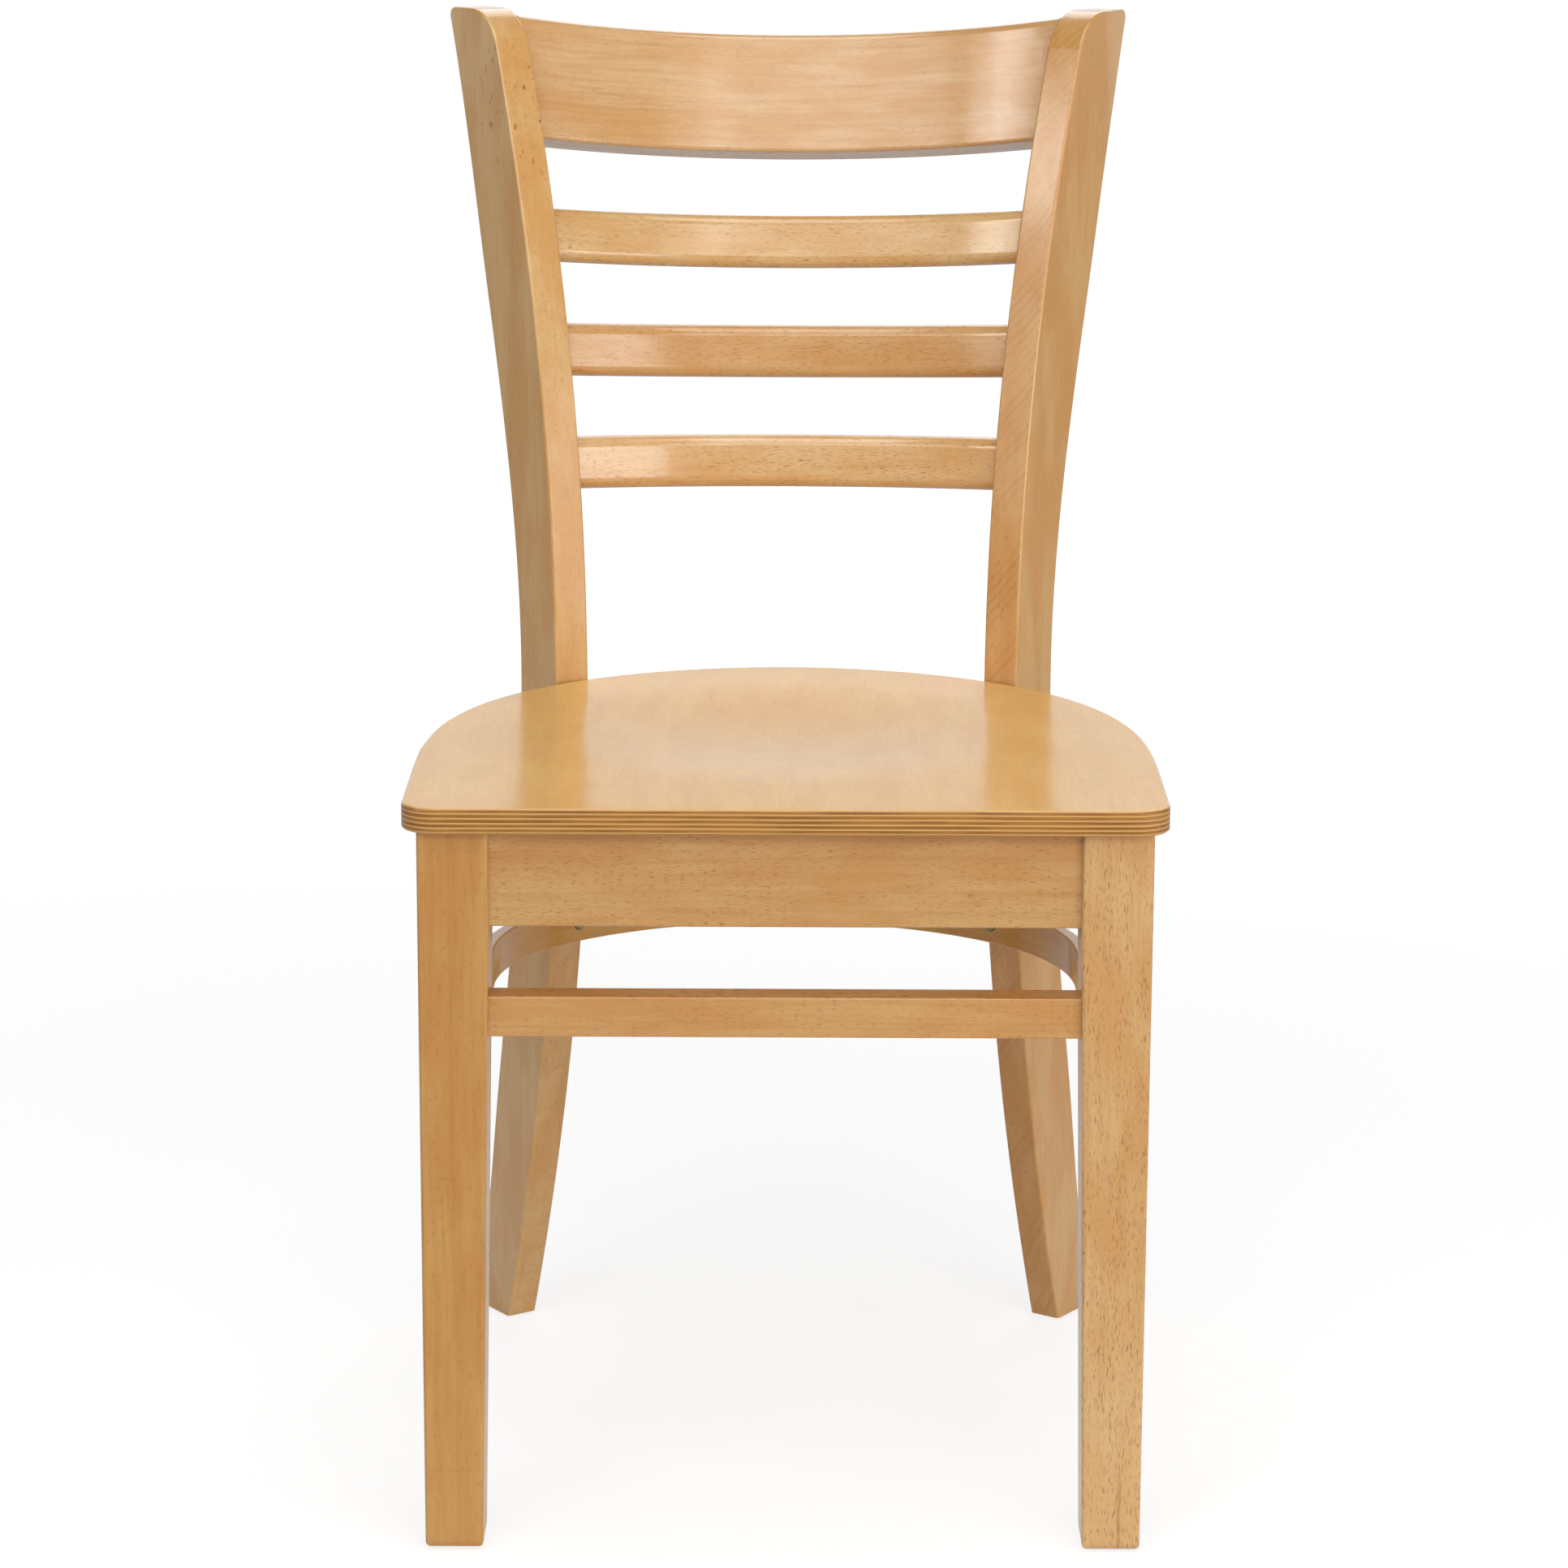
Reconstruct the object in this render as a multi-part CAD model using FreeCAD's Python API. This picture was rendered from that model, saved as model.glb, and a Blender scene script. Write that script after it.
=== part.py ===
import FreeCAD, Part
import math
import os
from FreeCAD import Vector as V

# Ladderback dining chair in solid beech with a moulded plywood seat, millimetres.
# Front is -Y and the floor is Z 0. Left and right are as seen from the front, so right is +X;
# the right half is modelled and mirrored to the left.
# Working frame: the front faces of the front legs lie on Y 0. The finished pieces are moved
# so that the origin is the centre of the footprint.

# Seat panel
SEAT_WIDTH = 436.6
SEAT_DEPTH = 422.2
SEAT_HEIGHT = 446.5
SEAT_THICKNESS = 15.0
SEAT_FRONT_OVERHANG = 9.2
SEAT_SIDE_OVERHANG = 9.9
SEAT_STRAIGHT_SIDE = 117.8
SEAT_SIDE_FULLNESS = 1.925
SEAT_REAR_FULLNESS = 2.77
SEAT_CORNER_RADIUS = 20.0
SEAT_FRONT_TAPER = 1.2
SEAT_EDGE_RADIUS = 2.0
SEAT_POST_CLEARANCE = 0.4
DISH_RADIUS = 160.0
DISH_DEPTH = 5.0
DISH_CENTRE_FROM_FRONT = 220.0
DISH_RIM_LIFT = 0.06

# Front legs
LEG_WIDTH = 40.4
LEG_FOOT_WIDTH = 33.8
LEG_DEPTH = 40.0
LEG_FOOT_DEPTH = 34.0
LEG_ARRIS_RADIUS = 2.0
LEG_FOOT_RADIUS = 5.0

# Front rail and front stretcher
RAIL_HEIGHT = 56.2
RAIL_THICKNESS = 21.0
RAIL_SETBACK = 4.0
RAIL_ARRIS_RADIUS = 1.0
RAIL_TENON_LENGTH = 20.0
RAIL_TENON_THICKNESS = 11.0
RAIL_TENON_SHOULDER = 8.0
STRETCHER_BELOW_RAIL = 41.3
STRETCHER_HEIGHT = 23.6
STRETCHER_THICKNESS = 20.7
STRETCHER_TENON_LENGTH = 16.0
STRETCHER_TENON_THICKNESS = 10.0
STRETCHER_TENON_SHOULDER = 4.0
TENON_CLEARANCE = 0.15

# Rear legs: sawn planks, each bent in its own upright plane. The corner that faces forward
# and out is the plank's front arris; heights marked "above seat" are counted from the seat's top.
POST_INSET = 61.4
POST_BEFORE_SEAT_REAR = 57.0
POST_PLAN_ANGLE = 35.0
POST_THICKNESS = 24.5
POST_FOOT_THICKNESS = 21.5
POST_THINNING_BELOW_SEAT = 146.5
POST_ABOVE_SEAT = 421.5
POST_FOOT_KICK = 66.5
POST_KICK_BELOW_SEAT = 26.5
POST_KICK_POWER = 1.87
POST_TOP_SWEEP = 72.8
POST_SWEEP_ABOVE_SEAT = 3.5
POST_SWEEP_POWER = 1.93
POST_FOOT_DEPTH = 41.0
POST_LOWER_DEPTH = 50.0
POST_SEAT_DEPTH = 43.6
POST_UPPER_DEPTH = 56.2
POST_TOP_DEPTH = 52.0
POST_LOWER_STATION = 175.0
POST_SEAT_STATION_ABOVE_SEAT = 8.5
POST_UPPER_STATION_BELOW_TOP = 138.0
POST_TOP_FRONT_RADIUS = 33.0
POST_TOP_REAR_RADIUS = 5.0
POST_ARRIS_RADIUS = 1.6
POST_FACET_ANGLE = 4.0
POST_FACET_LENGTH = 82.0
POST_FACET_WIDTH = 30.0

# Ladder: three equal slats and a taller crest rail, all hollow to the front
LADDER_RADIUS = 275.0
SLAT_COUNT = 3
SLATS_ABOVE_SEAT = 209.8
SLAT_PITCH = 71.9
SLAT_WIDTH = 33.6
SLAT_THICKNESS = 16.0
SLAT_NOSE_RADIUS = 7.0
SLAT_SETBACK = 6.0
SLAT_TENON_THICKNESS = 8.0
SLAT_TENON_WIDTH = 20.0
CREST_BELOW_TOP = 41.9
CREST_WIDTH = 77.3
CREST_THICKNESS = 32.0
CREST_TOP_RADIUS = 5.0
CREST_UNDER_RADIUS = 2.5
CREST_SETBACK = 11.0
CREST_TENON_THICKNESS = 12.0
CREST_TENON_WIDTH = 50.0
LADDER_TENON_LENGTH = 15.0

# Bent apron under the seat
APRON_HEIGHT = 50.0
APRON_THICKNESS = 18.0
APRON_ARM_INSET = 6.4
APRON_SIDE_RADIUS = 120.0
APRON_CORNER_RADIUS = 40.0
APRON_CORNER_TURN = 15.0
APRON_PAST_POST = 0.5

# Bent brace below the stretcher: its outer face is cut flat by this much against each rear leg
BRACE_BELOW_STRETCHER = 12.9
BRACE_HEIGHT = 24.0
BRACE_THICKNESS = 9.0
BRACE_ARM_INSET = 17.9
BRACE_SIDE_RADIUS = 155.0
BRACE_SIDE_TURN = 52.0
BRACE_LET_IN = 1.5
BRACE_ARRIS_RADIUS = 1.2

# Corner blocks
BLOCK_HEIGHT = 28.0
BLOCK_RUN = 45.0

# Dowels
APRON_DOWEL_DIAMETER = 8.0
APRON_DOWEL_LENGTH = 34.0
APRON_DOWEL_PITCH = 26.0
BRACE_DOWEL_DIAMETER = 6.0
BRACE_DOWEL_LENGTH = 28.0
DOWEL_CLEARANCE = 0.1

# Bolts of the rear legs, with washers and nuts inside the apron
BOLT_DIAMETER = 6.0
BOLT_IN_LEG = 30.0
BOLT_PITCH = 26.0
BOLT_STICKOUT = 3.0
BOLT_HOLE_CLEARANCE = 0.4
WASHER_DIAMETER = 18.0
WASHER_THICKNESS = 1.6
NUT_ACROSS_FLATS = 10.0
NUT_HEIGHT = 5.0

# Wood screws
SEAT_SCREW_DIAMETER = 4.5
SEAT_SCREW_HEAD_DIAMETER = 9.0
SEAT_SCREW_HEAD_HEIGHT = 2.6
SEAT_SCREW_IN_SEAT = 9.0
SEAT_SCREW_REAR_HALF_SPAN = 70.0
BLOCK_SCREW_DIAMETER = 5.0
BLOCK_SCREW_HEAD_DIAMETER = 10.0
BLOCK_SCREW_HEAD_HEIGHT = 2.8
BLOCK_SCREW_IN_LEG = 17.0
BRACE_SCREW_DIAMETER = 4.0
BRACE_SCREW_HEAD_DIAMETER = 8.0
BRACE_SCREW_HEAD_HEIGHT = 2.2
BRACE_SCREW_IN_LEG = 24.0
BRACE_SCREW_FROM_EDGE = 8.0
BRACE_SCREW_SUNK = 0.8
SCREW_HOLE_CLEARANCE = 0.2
SCREW_HEAD_CLEARANCE = 0.4
SCREW_CROWN_SHARE = 0.6
SCREW_SLOT_SHARE = 0.25
SCREW_POINT_SHARE = 0.17

# Glides under the feet
GLIDE_DIAMETER = 15.0
GLIDE_THICKNESS = 1.5
GLIDE_PIN_DIAMETER = 2.5
GLIDE_PIN_LENGTH = 12.0

# Points through which the curves are drawn, and the slack in telling edges apart
POST_STATIONS = 12
SEAT_OUTLINE_STEPS = 28
DISH_STEPS = 8
SLACK = 0.01
OVERRUN = 1.0

# Derived levels, places and directions
SEAT_UNDERSIDE = SEAT_HEIGHT - SEAT_THICKNESS
SEAT_REAR = SEAT_DEPTH - SEAT_FRONT_OVERHANG
RAIL_BOTTOM = SEAT_UNDERSIDE - RAIL_HEIGHT
STRETCHER_TOP = RAIL_BOTTOM - STRETCHER_BELOW_RAIL
STRETCHER_BOTTOM = STRETCHER_TOP - STRETCHER_HEIGHT
BRACE_BOTTOM = STRETCHER_BOTTOM - BRACE_BELOW_STRETCHER - BRACE_HEIGHT
APRON_BOTTOM = SEAT_UNDERSIDE - APRON_HEIGHT
LEG_OUTER = SEAT_WIDTH / 2 - SEAT_SIDE_OVERHANG
LEG_INNER = LEG_OUTER - LEG_WIDTH
POST_HALF_SPAN = LEG_OUTER - POST_INSET
POST_FROM_FRONT = SEAT_REAR - POST_BEFORE_SEAT_REAR
POST_TOP = SEAT_HEIGHT + POST_ABOVE_SEAT
POST_THINNING_HEIGHT = SEAT_HEIGHT - POST_THINNING_BELOW_SEAT
POST_KICK_HEIGHT = SEAT_HEIGHT - POST_KICK_BELOW_SEAT
POST_SWEEP_HEIGHT = SEAT_HEIGHT + POST_SWEEP_ABOVE_SEAT
POST_SEAT_STATION = SEAT_HEIGHT + POST_SEAT_STATION_ABOVE_SEAT
POST_UPPER_STATION = POST_TOP - POST_UPPER_STATION_BELOW_TOP
SLAT_MIDDLE_HEIGHT = SEAT_HEIGHT + SLATS_ABOVE_SEAT
CREST_MIDDLE_HEIGHT = POST_TOP - CREST_BELOW_TOP
PLAN = math.radians(POST_PLAN_ANGLE)
ALONG = V(math.sin(PLAN), math.cos(PLAN), 0)
ACROSS = V(-math.cos(PLAN), math.sin(PLAN), 0)
UP = V(0, 0, 1)
BIG = 3000.0


def box(x0, x1, y0, y1, z0, z1):
    return Part.makeBox(x1 - x0, y1 - y0, z1 - z0, V(x0, y0, z0))


def mirrored(shape):
    return shape.mirror(V(0, 0, 0), V(1, 0, 0))


def both_sides(shapes):
    return Part.makeCompound(shapes + [mirrored(s) for s in shapes])


def face_of(edges):
    return Part.Face(Part.Wire(edges))


def polygon_prism(points, height):
    return Part.Face(Part.makePolygon(points + [points[0]])).extrude(height)


def cylinder(start, direction, length, diameter):
    return Part.makeCylinder(diameter / 2, length, start, direction)


def through(start, direction, length, diameter):
    return cylinder(start - direction * OVERRUN, direction, length + 2 * OVERRUN, diameter)


def edges_where(shape, test):
    return [e for e in shape.Edges if test(e)]


# Front legs

def leg_silhouette(points, depth):
    # upright slab cut to one silhouette of the leg, with the two foot corners rounded
    slab = polygon_prism(points, depth)
    low = GLIDE_THICKNESS + SLACK
    direction = V(depth).normalize()
    corners = edges_where(slab, lambda e: e.BoundBox.ZMax < low
                          and abs(e.tangentAt(e.FirstParameter).dot(direction)) > 1 - SLACK)
    return slab.makeFillet(LEG_FOOT_RADIUS, corners)


def rounded_section(inner, depth, z):
    outline = box(inner, LEG_OUTER, 0, depth, z, z + 1)
    standing = edges_where(outline, lambda e: e.BoundBox.ZLength > SLACK)
    rounded = outline.makeFillet(LEG_ARRIS_RADIUS, standing)
    return [f for f in rounded.Faces if f.BoundBox.ZMax < z + SLACK][0].OuterWire


def front_leg_blank():
    top = rounded_section(LEG_INNER, LEG_DEPTH, SEAT_UNDERSIDE)
    knee = rounded_section(LEG_INNER, LEG_DEPTH, RAIL_BOTTOM)
    foot = rounded_section(LEG_OUTER - LEG_FOOT_WIDTH, LEG_FOOT_DEPTH, GLIDE_THICKNESS)
    upper = Part.makeLoft([knee, top], True, True)
    lower = Part.makeLoft([foot, knee], True, True)
    return upper.fuse(lower)


def front_leg_shaped():
    top = SEAT_UNDERSIDE
    foot = GLIDE_THICKNESS
    foot_inner = LEG_OUTER - LEG_FOOT_WIDTH
    front = [V(LEG_OUTER, 0, foot), V(LEG_OUTER, 0, top), V(LEG_INNER, 0, top),
             V(LEG_INNER, 0, RAIL_BOTTOM), V(foot_inner, 0, foot)]
    side = [V(0, 0, foot), V(0, LEG_FOOT_DEPTH, foot), V(0, LEG_DEPTH, RAIL_BOTTOM),
            V(0, LEG_DEPTH, top), V(0, 0, top)]
    leg = front_leg_blank()
    leg = leg.common(leg_silhouette(front, V(0, LEG_DEPTH, 0)))
    return leg.common(leg_silhouette(side, V(LEG_OUTER, 0, 0)))


def rail_tenon(grow):
    mid = RAIL_SETBACK + RAIL_THICKNESS / 2
    half = RAIL_TENON_THICKNESS / 2 + grow
    return box(LEG_INNER - RAIL_THICKNESS, LEG_INNER + RAIL_TENON_LENGTH + grow, mid - half, mid + half,
               RAIL_BOTTOM + RAIL_TENON_SHOULDER - grow, SEAT_UNDERSIDE - RAIL_TENON_SHOULDER + grow)


def stretcher_tenon(grow):
    mid = RAIL_SETBACK + STRETCHER_THICKNESS / 2
    half = STRETCHER_TENON_THICKNESS / 2 + grow
    return box(LEG_INNER - STRETCHER_THICKNESS, LEG_INNER + STRETCHER_TENON_LENGTH + grow,
               mid - half, mid + half,
               STRETCHER_BOTTOM + STRETCHER_TENON_SHOULDER - grow,
               STRETCHER_TOP - STRETCHER_TENON_SHOULDER + grow)


def cross_bar(bottom, top, thickness, tenon):
    half = LEG_OUTER - LEG_FOOT_WIDTH
    bar = box(-half, half, RAIL_SETBACK, RAIL_SETBACK + thickness, bottom, top)
    lengthwise = edges_where(bar, lambda e: e.BoundBox.XLength > half)
    bar = bar.makeFillet(RAIL_ARRIS_RADIUS, lengthwise)
    leg = front_leg_blank()
    bar = bar.cut([leg, mirrored(leg)])
    side = tenon.cut(box(-BIG, LEG_INNER - TENON_CLEARANCE, -BIG, BIG, -BIG, BIG))
    return bar.fuse([side, mirrored(side)]).removeSplitter()


def front_rail():
    return cross_bar(RAIL_BOTTOM, SEAT_UNDERSIDE, RAIL_THICKNESS, rail_tenon(0))


def front_stretcher():
    return cross_bar(STRETCHER_BOTTOM, STRETCHER_TOP, STRETCHER_THICKNESS, stretcher_tenon(0))


# Rear legs

def post_front(z):
    below = max(0.0, 1 - z / POST_KICK_HEIGHT)
    above = max(0.0, (z - POST_SWEEP_HEIGHT) / (POST_TOP - POST_SWEEP_HEIGHT))
    return POST_FOOT_KICK * below ** POST_KICK_POWER + POST_TOP_SWEEP * above ** POST_SWEEP_POWER


def post_lean(z):
    rise = (post_front(z + SLACK) - post_front(z - SLACK)) / (2 * SLACK)
    return math.atan(rise * math.cos(PLAN))


def eased(z, z0, z1, d0, d1):
    t = min(1.0, max(0.0, (z - z0) / (z1 - z0)))
    return d0 + (d1 - d0) * t * t * (3 - 2 * t)


def post_depth(z):
    if z < POST_LOWER_STATION:
        return eased(z, 0, POST_LOWER_STATION, POST_FOOT_DEPTH, POST_LOWER_DEPTH)
    if z < POST_SEAT_STATION:
        return eased(z, POST_LOWER_STATION, POST_SEAT_STATION, POST_LOWER_DEPTH, POST_SEAT_DEPTH)
    if z < POST_UPPER_STATION:
        return eased(z, POST_SEAT_STATION, POST_UPPER_STATION, POST_SEAT_DEPTH, POST_UPPER_DEPTH)
    return eased(z, POST_UPPER_STATION, POST_TOP, POST_UPPER_DEPTH, POST_TOP_DEPTH)


def post_point(u, z, inward=0.0):
    return V(POST_HALF_SPAN, POST_FROM_FRONT, z) + ALONG * u + ACROSS * inward


def post_curve(offset, inward):
    foot = GLIDE_THICKNESS
    levels = [foot + (POST_TOP - foot) * i / (POST_STATIONS - 1) for i in range(POST_STATIONS)]
    curve = Part.BSplineCurve()
    curve.interpolate([post_point(post_front(z) + offset(z), z, inward) for z in levels])
    return curve.toShape()


def post_blank(grow=0.0):
    front = post_curve(lambda z: -grow, -grow)
    rear = post_curve(lambda z: post_depth(z) + grow, -grow)
    f0, f1 = front.Vertexes[0].Point, front.Vertexes[-1].Point
    r0, r1 = rear.Vertexes[0].Point, rear.Vertexes[-1].Point
    outline = face_of([front, Part.makeLine(f1, r1), rear, Part.makeLine(r0, f0)])
    return outline.extrude(ACROSS * (POST_THICKNESS + 2 * grow))


def thinning_wedge():
    foot = GLIDE_THICKNESS
    reach = POST_FOOT_KICK + POST_FOOT_DEPTH + POST_LOWER_DEPTH
    corners = [post_point(-POST_LOWER_DEPTH, foot, POST_FOOT_THICKNESS),
               post_point(-POST_LOWER_DEPTH, foot, POST_THICKNESS + POST_FOOT_THICKNESS),
               post_point(-POST_LOWER_DEPTH, POST_THINNING_HEIGHT, POST_THICKNESS + POST_FOOT_THICKNESS),
               post_point(-POST_LOWER_DEPTH, POST_THINNING_HEIGHT, POST_THICKNESS)]
    return polygon_prism(corners, ALONG * (reach + POST_LOWER_DEPTH))


def is_across(edge):
    ends = edge.Vertexes
    if len(ends) < 2:
        return False
    run = ends[1].Point - ends[0].Point
    return abs(abs(run.dot(ACROSS)) - run.Length) < SLACK and abs(run.z) < SLACK


def top_edges(post):
    found = edges_where(post, lambda e: is_across(e) and e.BoundBox.ZMin > POST_TOP - SLACK)
    return sorted(found, key=lambda e: e.CenterOfMass.dot(ALONG))


def post_shaped():
    post = post_blank()
    post = post.makeFillet(POST_TOP_FRONT_RADIUS, [top_edges(post)[0]])
    post = post.makeFillet(POST_TOP_REAR_RADIUS, [top_edges(post)[-1]])
    post = post.cut(thinning_wedge())
    arrises = edges_where(post, lambda e: not is_across(e) and e.BoundBox.ZMax > GLIDE_THICKNESS + SLACK)
    return post.makeFillet(POST_ARRIS_RADIUS, arrises)


# Ladder of the back: each rung is a slab bent round an upright axis in front of it

def rung_slab(radius, thickness, width, half_angle):
    c, s = math.cos(half_angle), math.sin(half_angle)
    outer = radius + thickness
    low = -width / 2
    front = Part.Arc(V(-radius * s, radius * c, low), V(0, radius, low), V(radius * s, radius * c, low))
    rear = Part.Arc(V(outer * s, outer * c, low), V(0, outer, low), V(-outer * s, outer * c, low))
    sides = [Part.makeLine(V(radius * s, radius * c, low), V(outer * s, outer * c, low)),
             Part.makeLine(V(-outer * s, outer * c, low), V(-radius * s, radius * c, low))]
    return face_of([front.toShape(), sides[0], rear.toShape(), sides[1]]).extrude(V(0, 0, width))


def rung_end(height, setback):
    return post_point(post_front(height) + setback, height, POST_THICKNESS)


def place_rung(slab, height, setback):
    end = rung_end(height, setback)
    shift = math.sqrt(LADDER_RADIUS ** 2 - end.x ** 2)
    slab = slab.copy()
    slab.translate(V(0, -shift, 0))
    slab.rotate(V(0, 0, 0), V(1, 0, 0), -math.degrees(post_lean(height)))
    slab.translate(V(0, end.y, height))
    return slab


def rung_tenon(height, setback, thickness, tenon_thickness, tenon_width, grow):
    end = rung_end(height, setback)
    reach = LADDER_TENON_LENGTH + grow
    angle = math.asin(end.x / LADDER_RADIUS) + reach / LADDER_RADIUS
    inset = (thickness - tenon_thickness) / 2 - grow
    slab = rung_slab(LADDER_RADIUS + inset, tenon_thickness + 2 * grow, tenon_width + 2 * grow, angle)
    return place_rung(slab, height, setback)


def rung_body(height, setback, thickness, width, radius_top, radius_under):
    end = rung_end(height, setback)
    angle = math.asin(end.x / LADDER_RADIUS) + POST_THICKNESS / LADDER_RADIUS / 2
    slab = rung_slab(LADDER_RADIUS, thickness, width, angle)
    rims = edges_where(slab, lambda e: e.Length > LADDER_RADIUS / 2)
    upper = [e for e in rims if e.CenterOfMass.z > 0]
    slab = slab.makeFillet(radius_top, upper)
    rims = edges_where(slab, lambda e: e.Length > LADDER_RADIUS / 2 and e.BoundBox.ZMax < SLACK - width / 2)
    slab = slab.makeFillet(radius_under, rims)
    return place_rung(slab, height, setback)


def rung(body, tenon):
    post = post_blank()
    posts = [post, mirrored(post)]
    middle = sorted(body.cut(posts).Solids, key=lambda s: s.Volume)[-1]
    ends = [tenon.common(p) for p in posts]
    return middle.fuse(ends).removeSplitter()


def slat_height(index):
    return SLAT_MIDDLE_HEIGHT + (index - (SLAT_COUNT - 1) / 2) * SLAT_PITCH


def slat_tenon(index, grow):
    return rung_tenon(slat_height(index), SLAT_SETBACK, SLAT_THICKNESS,
                      SLAT_TENON_THICKNESS, SLAT_TENON_WIDTH, grow)


def slat(index):
    body = rung_body(slat_height(index), SLAT_SETBACK, SLAT_THICKNESS, SLAT_WIDTH,
                     SLAT_NOSE_RADIUS, SLAT_NOSE_RADIUS)
    return rung(body, slat_tenon(index, 0))


def crest_tenon(grow):
    return rung_tenon(CREST_MIDDLE_HEIGHT, CREST_SETBACK, CREST_THICKNESS,
                      CREST_TENON_THICKNESS, CREST_TENON_WIDTH, grow)


def crest_rail():
    body = rung_body(CREST_MIDDLE_HEIGHT, CREST_SETBACK, CREST_THICKNESS, CREST_WIDTH,
                     CREST_TOP_RADIUS, CREST_UNDER_RADIUS)
    return rung(body, crest_tenon(0))


# Bent strips: a half path of straights and tangent arcs, mirrored, with a constant thickness

def arc_from(point, heading, radius, turn):
    # heading and turn in radians, anticlockwise from +X, the arc bends to the left
    left = V(-math.sin(heading), math.cos(heading), 0)
    centre = point + left * radius
    def at(angle):
        out = V(math.sin(heading + angle), -math.cos(heading + angle), 0)
        return centre + out * radius
    return Part.Arc(at(0), at(turn / 2), at(turn)).toShape(), at(turn)


def bent_strip(arm_x, arcs, thickness, bottom, height):
    # outer face path starts on the front of the right arm and ends on the centre line;
    # arcs holds (radius, turn, straight run before the arc)
    edges = []
    for inset, flip in ((0.0, False), (thickness, True)):
        point = V(arm_x - inset, 0, bottom)
        heading = math.pi / 2
        side = []
        for radius, turn, run in arcs:
            if run > 0:
                ahead = point + V(math.cos(heading), math.sin(heading), 0) * run
                side.append(Part.makeLine(point, ahead))
                point = ahead
            arc, point = arc_from(point, heading, radius - inset, turn)
            heading += turn
            side.append(arc)
        edges.append(side)
    outer, inner = edges
    both = outer + [mirrored(e) for e in outer] + inner + [mirrored(e) for e in inner]
    for sign in (1, -1):
        both.append(Part.makeLine(V(sign * arm_x, 0, bottom), V(sign * (arm_x - thickness), 0, bottom)))
    wire = Part.Wire(Part.__sortEdges__(both))
    return Part.Face(wire).extrude(V(0, 0, height))


def apron_path():
    arm = LEG_OUTER - APRON_ARM_INSET
    turn = math.pi / 2 - PLAN
    # the straight run that lies on the rear leg's narrow face
    contact = post_point(post_front(APRON_BOTTOM), 0) + ALONG * APRON_PAST_POST
    corner_y = contact.y + (contact.x - arm) * math.tan(PLAN)
    tangent = APRON_SIDE_RADIUS * math.tan(turn / 2)
    to_post = (arm - contact.x) / math.cos(PLAN) - tangent
    flat = to_post + POST_THICKNESS
    corner_turn = math.radians(APRON_CORNER_TURN)
    end_x = contact.x - math.cos(PLAN) * POST_THICKNESS
    end_x -= APRON_CORNER_RADIUS * (math.sin(PLAN) - math.sin(PLAN - corner_turn))
    rear_radius = end_x / math.sin(PLAN - corner_turn)
    return arm, [(APRON_SIDE_RADIUS, turn, corner_y - tangent),
                 (APRON_CORNER_RADIUS, corner_turn, flat),
                 (rear_radius, PLAN - corner_turn, 0.0)]


def apron_blank():
    arm, arcs = apron_path()
    return bent_strip(arm, arcs, APRON_THICKNESS, APRON_BOTTOM, APRON_HEIGHT)


def brace_path():
    arm = LEG_OUTER - BRACE_ARM_INSET
    radius = BRACE_SIDE_RADIUS + BRACE_THICKNESS
    turn = math.radians(BRACE_SIDE_TURN)
    rest = math.pi / 2 - turn
    end_x = arm - radius * (1 - math.cos(turn))
    rear_radius = end_x / math.sin(rest)
    # the bend starts where its outer face meets the rear leg's inner corner, let in by a little
    middle = BRACE_BOTTOM + BRACE_HEIGHT / 2
    meet = post_point(post_front(middle) + BRACE_LET_IN, middle, POST_THICKNESS)
    if meet.x > end_x:
        reach = math.sqrt(radius ** 2 - (meet.x - arm + radius) ** 2)
    else:
        reach = radius * math.sin(turn) - rear_radius * math.cos(rest)
        reach += math.sqrt(rear_radius ** 2 - meet.x ** 2)
    return arm, [(radius, turn, meet.y - reach), (rear_radius, rest, 0.0)]


def brace_blank():
    arm, arcs = brace_path()
    return bent_strip(arm, arcs, BRACE_THICKNESS, BRACE_BOTTOM, BRACE_HEIGHT)


def fitted_strip(strip):
    leg = front_leg_blank()
    post = post_blank()
    strip = strip.cut(box(-BIG, BIG, -BIG, LEG_FOOT_DEPTH - LEG_ARRIS_RADIUS, -BIG, BIG))
    return strip.cut([leg, mirrored(leg), post, mirrored(post)])


# Seat panel

def seat_outline(z):
    half = SEAT_WIDTH / 2
    side_y = SEAT_STRAIGHT_SIDE - SEAT_FRONT_OVERHANG
    depth = SEAT_REAR - side_y
    points = []
    for i in range(SEAT_OUTLINE_STEPS + 1):
        t = math.pi * i / SEAT_OUTLINE_STEPS
        x = half * abs(math.cos(t)) ** (2 / SEAT_SIDE_FULLNESS)
        y = side_y + depth * abs(math.sin(t)) ** (2 / SEAT_REAR_FULLNESS)
        points.append(V(math.copysign(x, math.cos(t)), y, z))
    rear = Part.BSplineCurve()
    rear.interpolate(Points=points, InitialTangent=V(0, 1, 0), FinalTangent=V(0, -1, 0))
    front = -SEAT_FRONT_OVERHANG
    corner = half - SEAT_FRONT_TAPER
    left = Part.makeLine(V(-half, side_y, z), V(-corner, front, z))
    fore = Part.makeLine(V(-corner, front, z), V(corner, front, z))
    right = Part.makeLine(V(corner, front, z), V(half, side_y, z))
    return face_of([rear.toShape(), left, fore, right])


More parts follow.
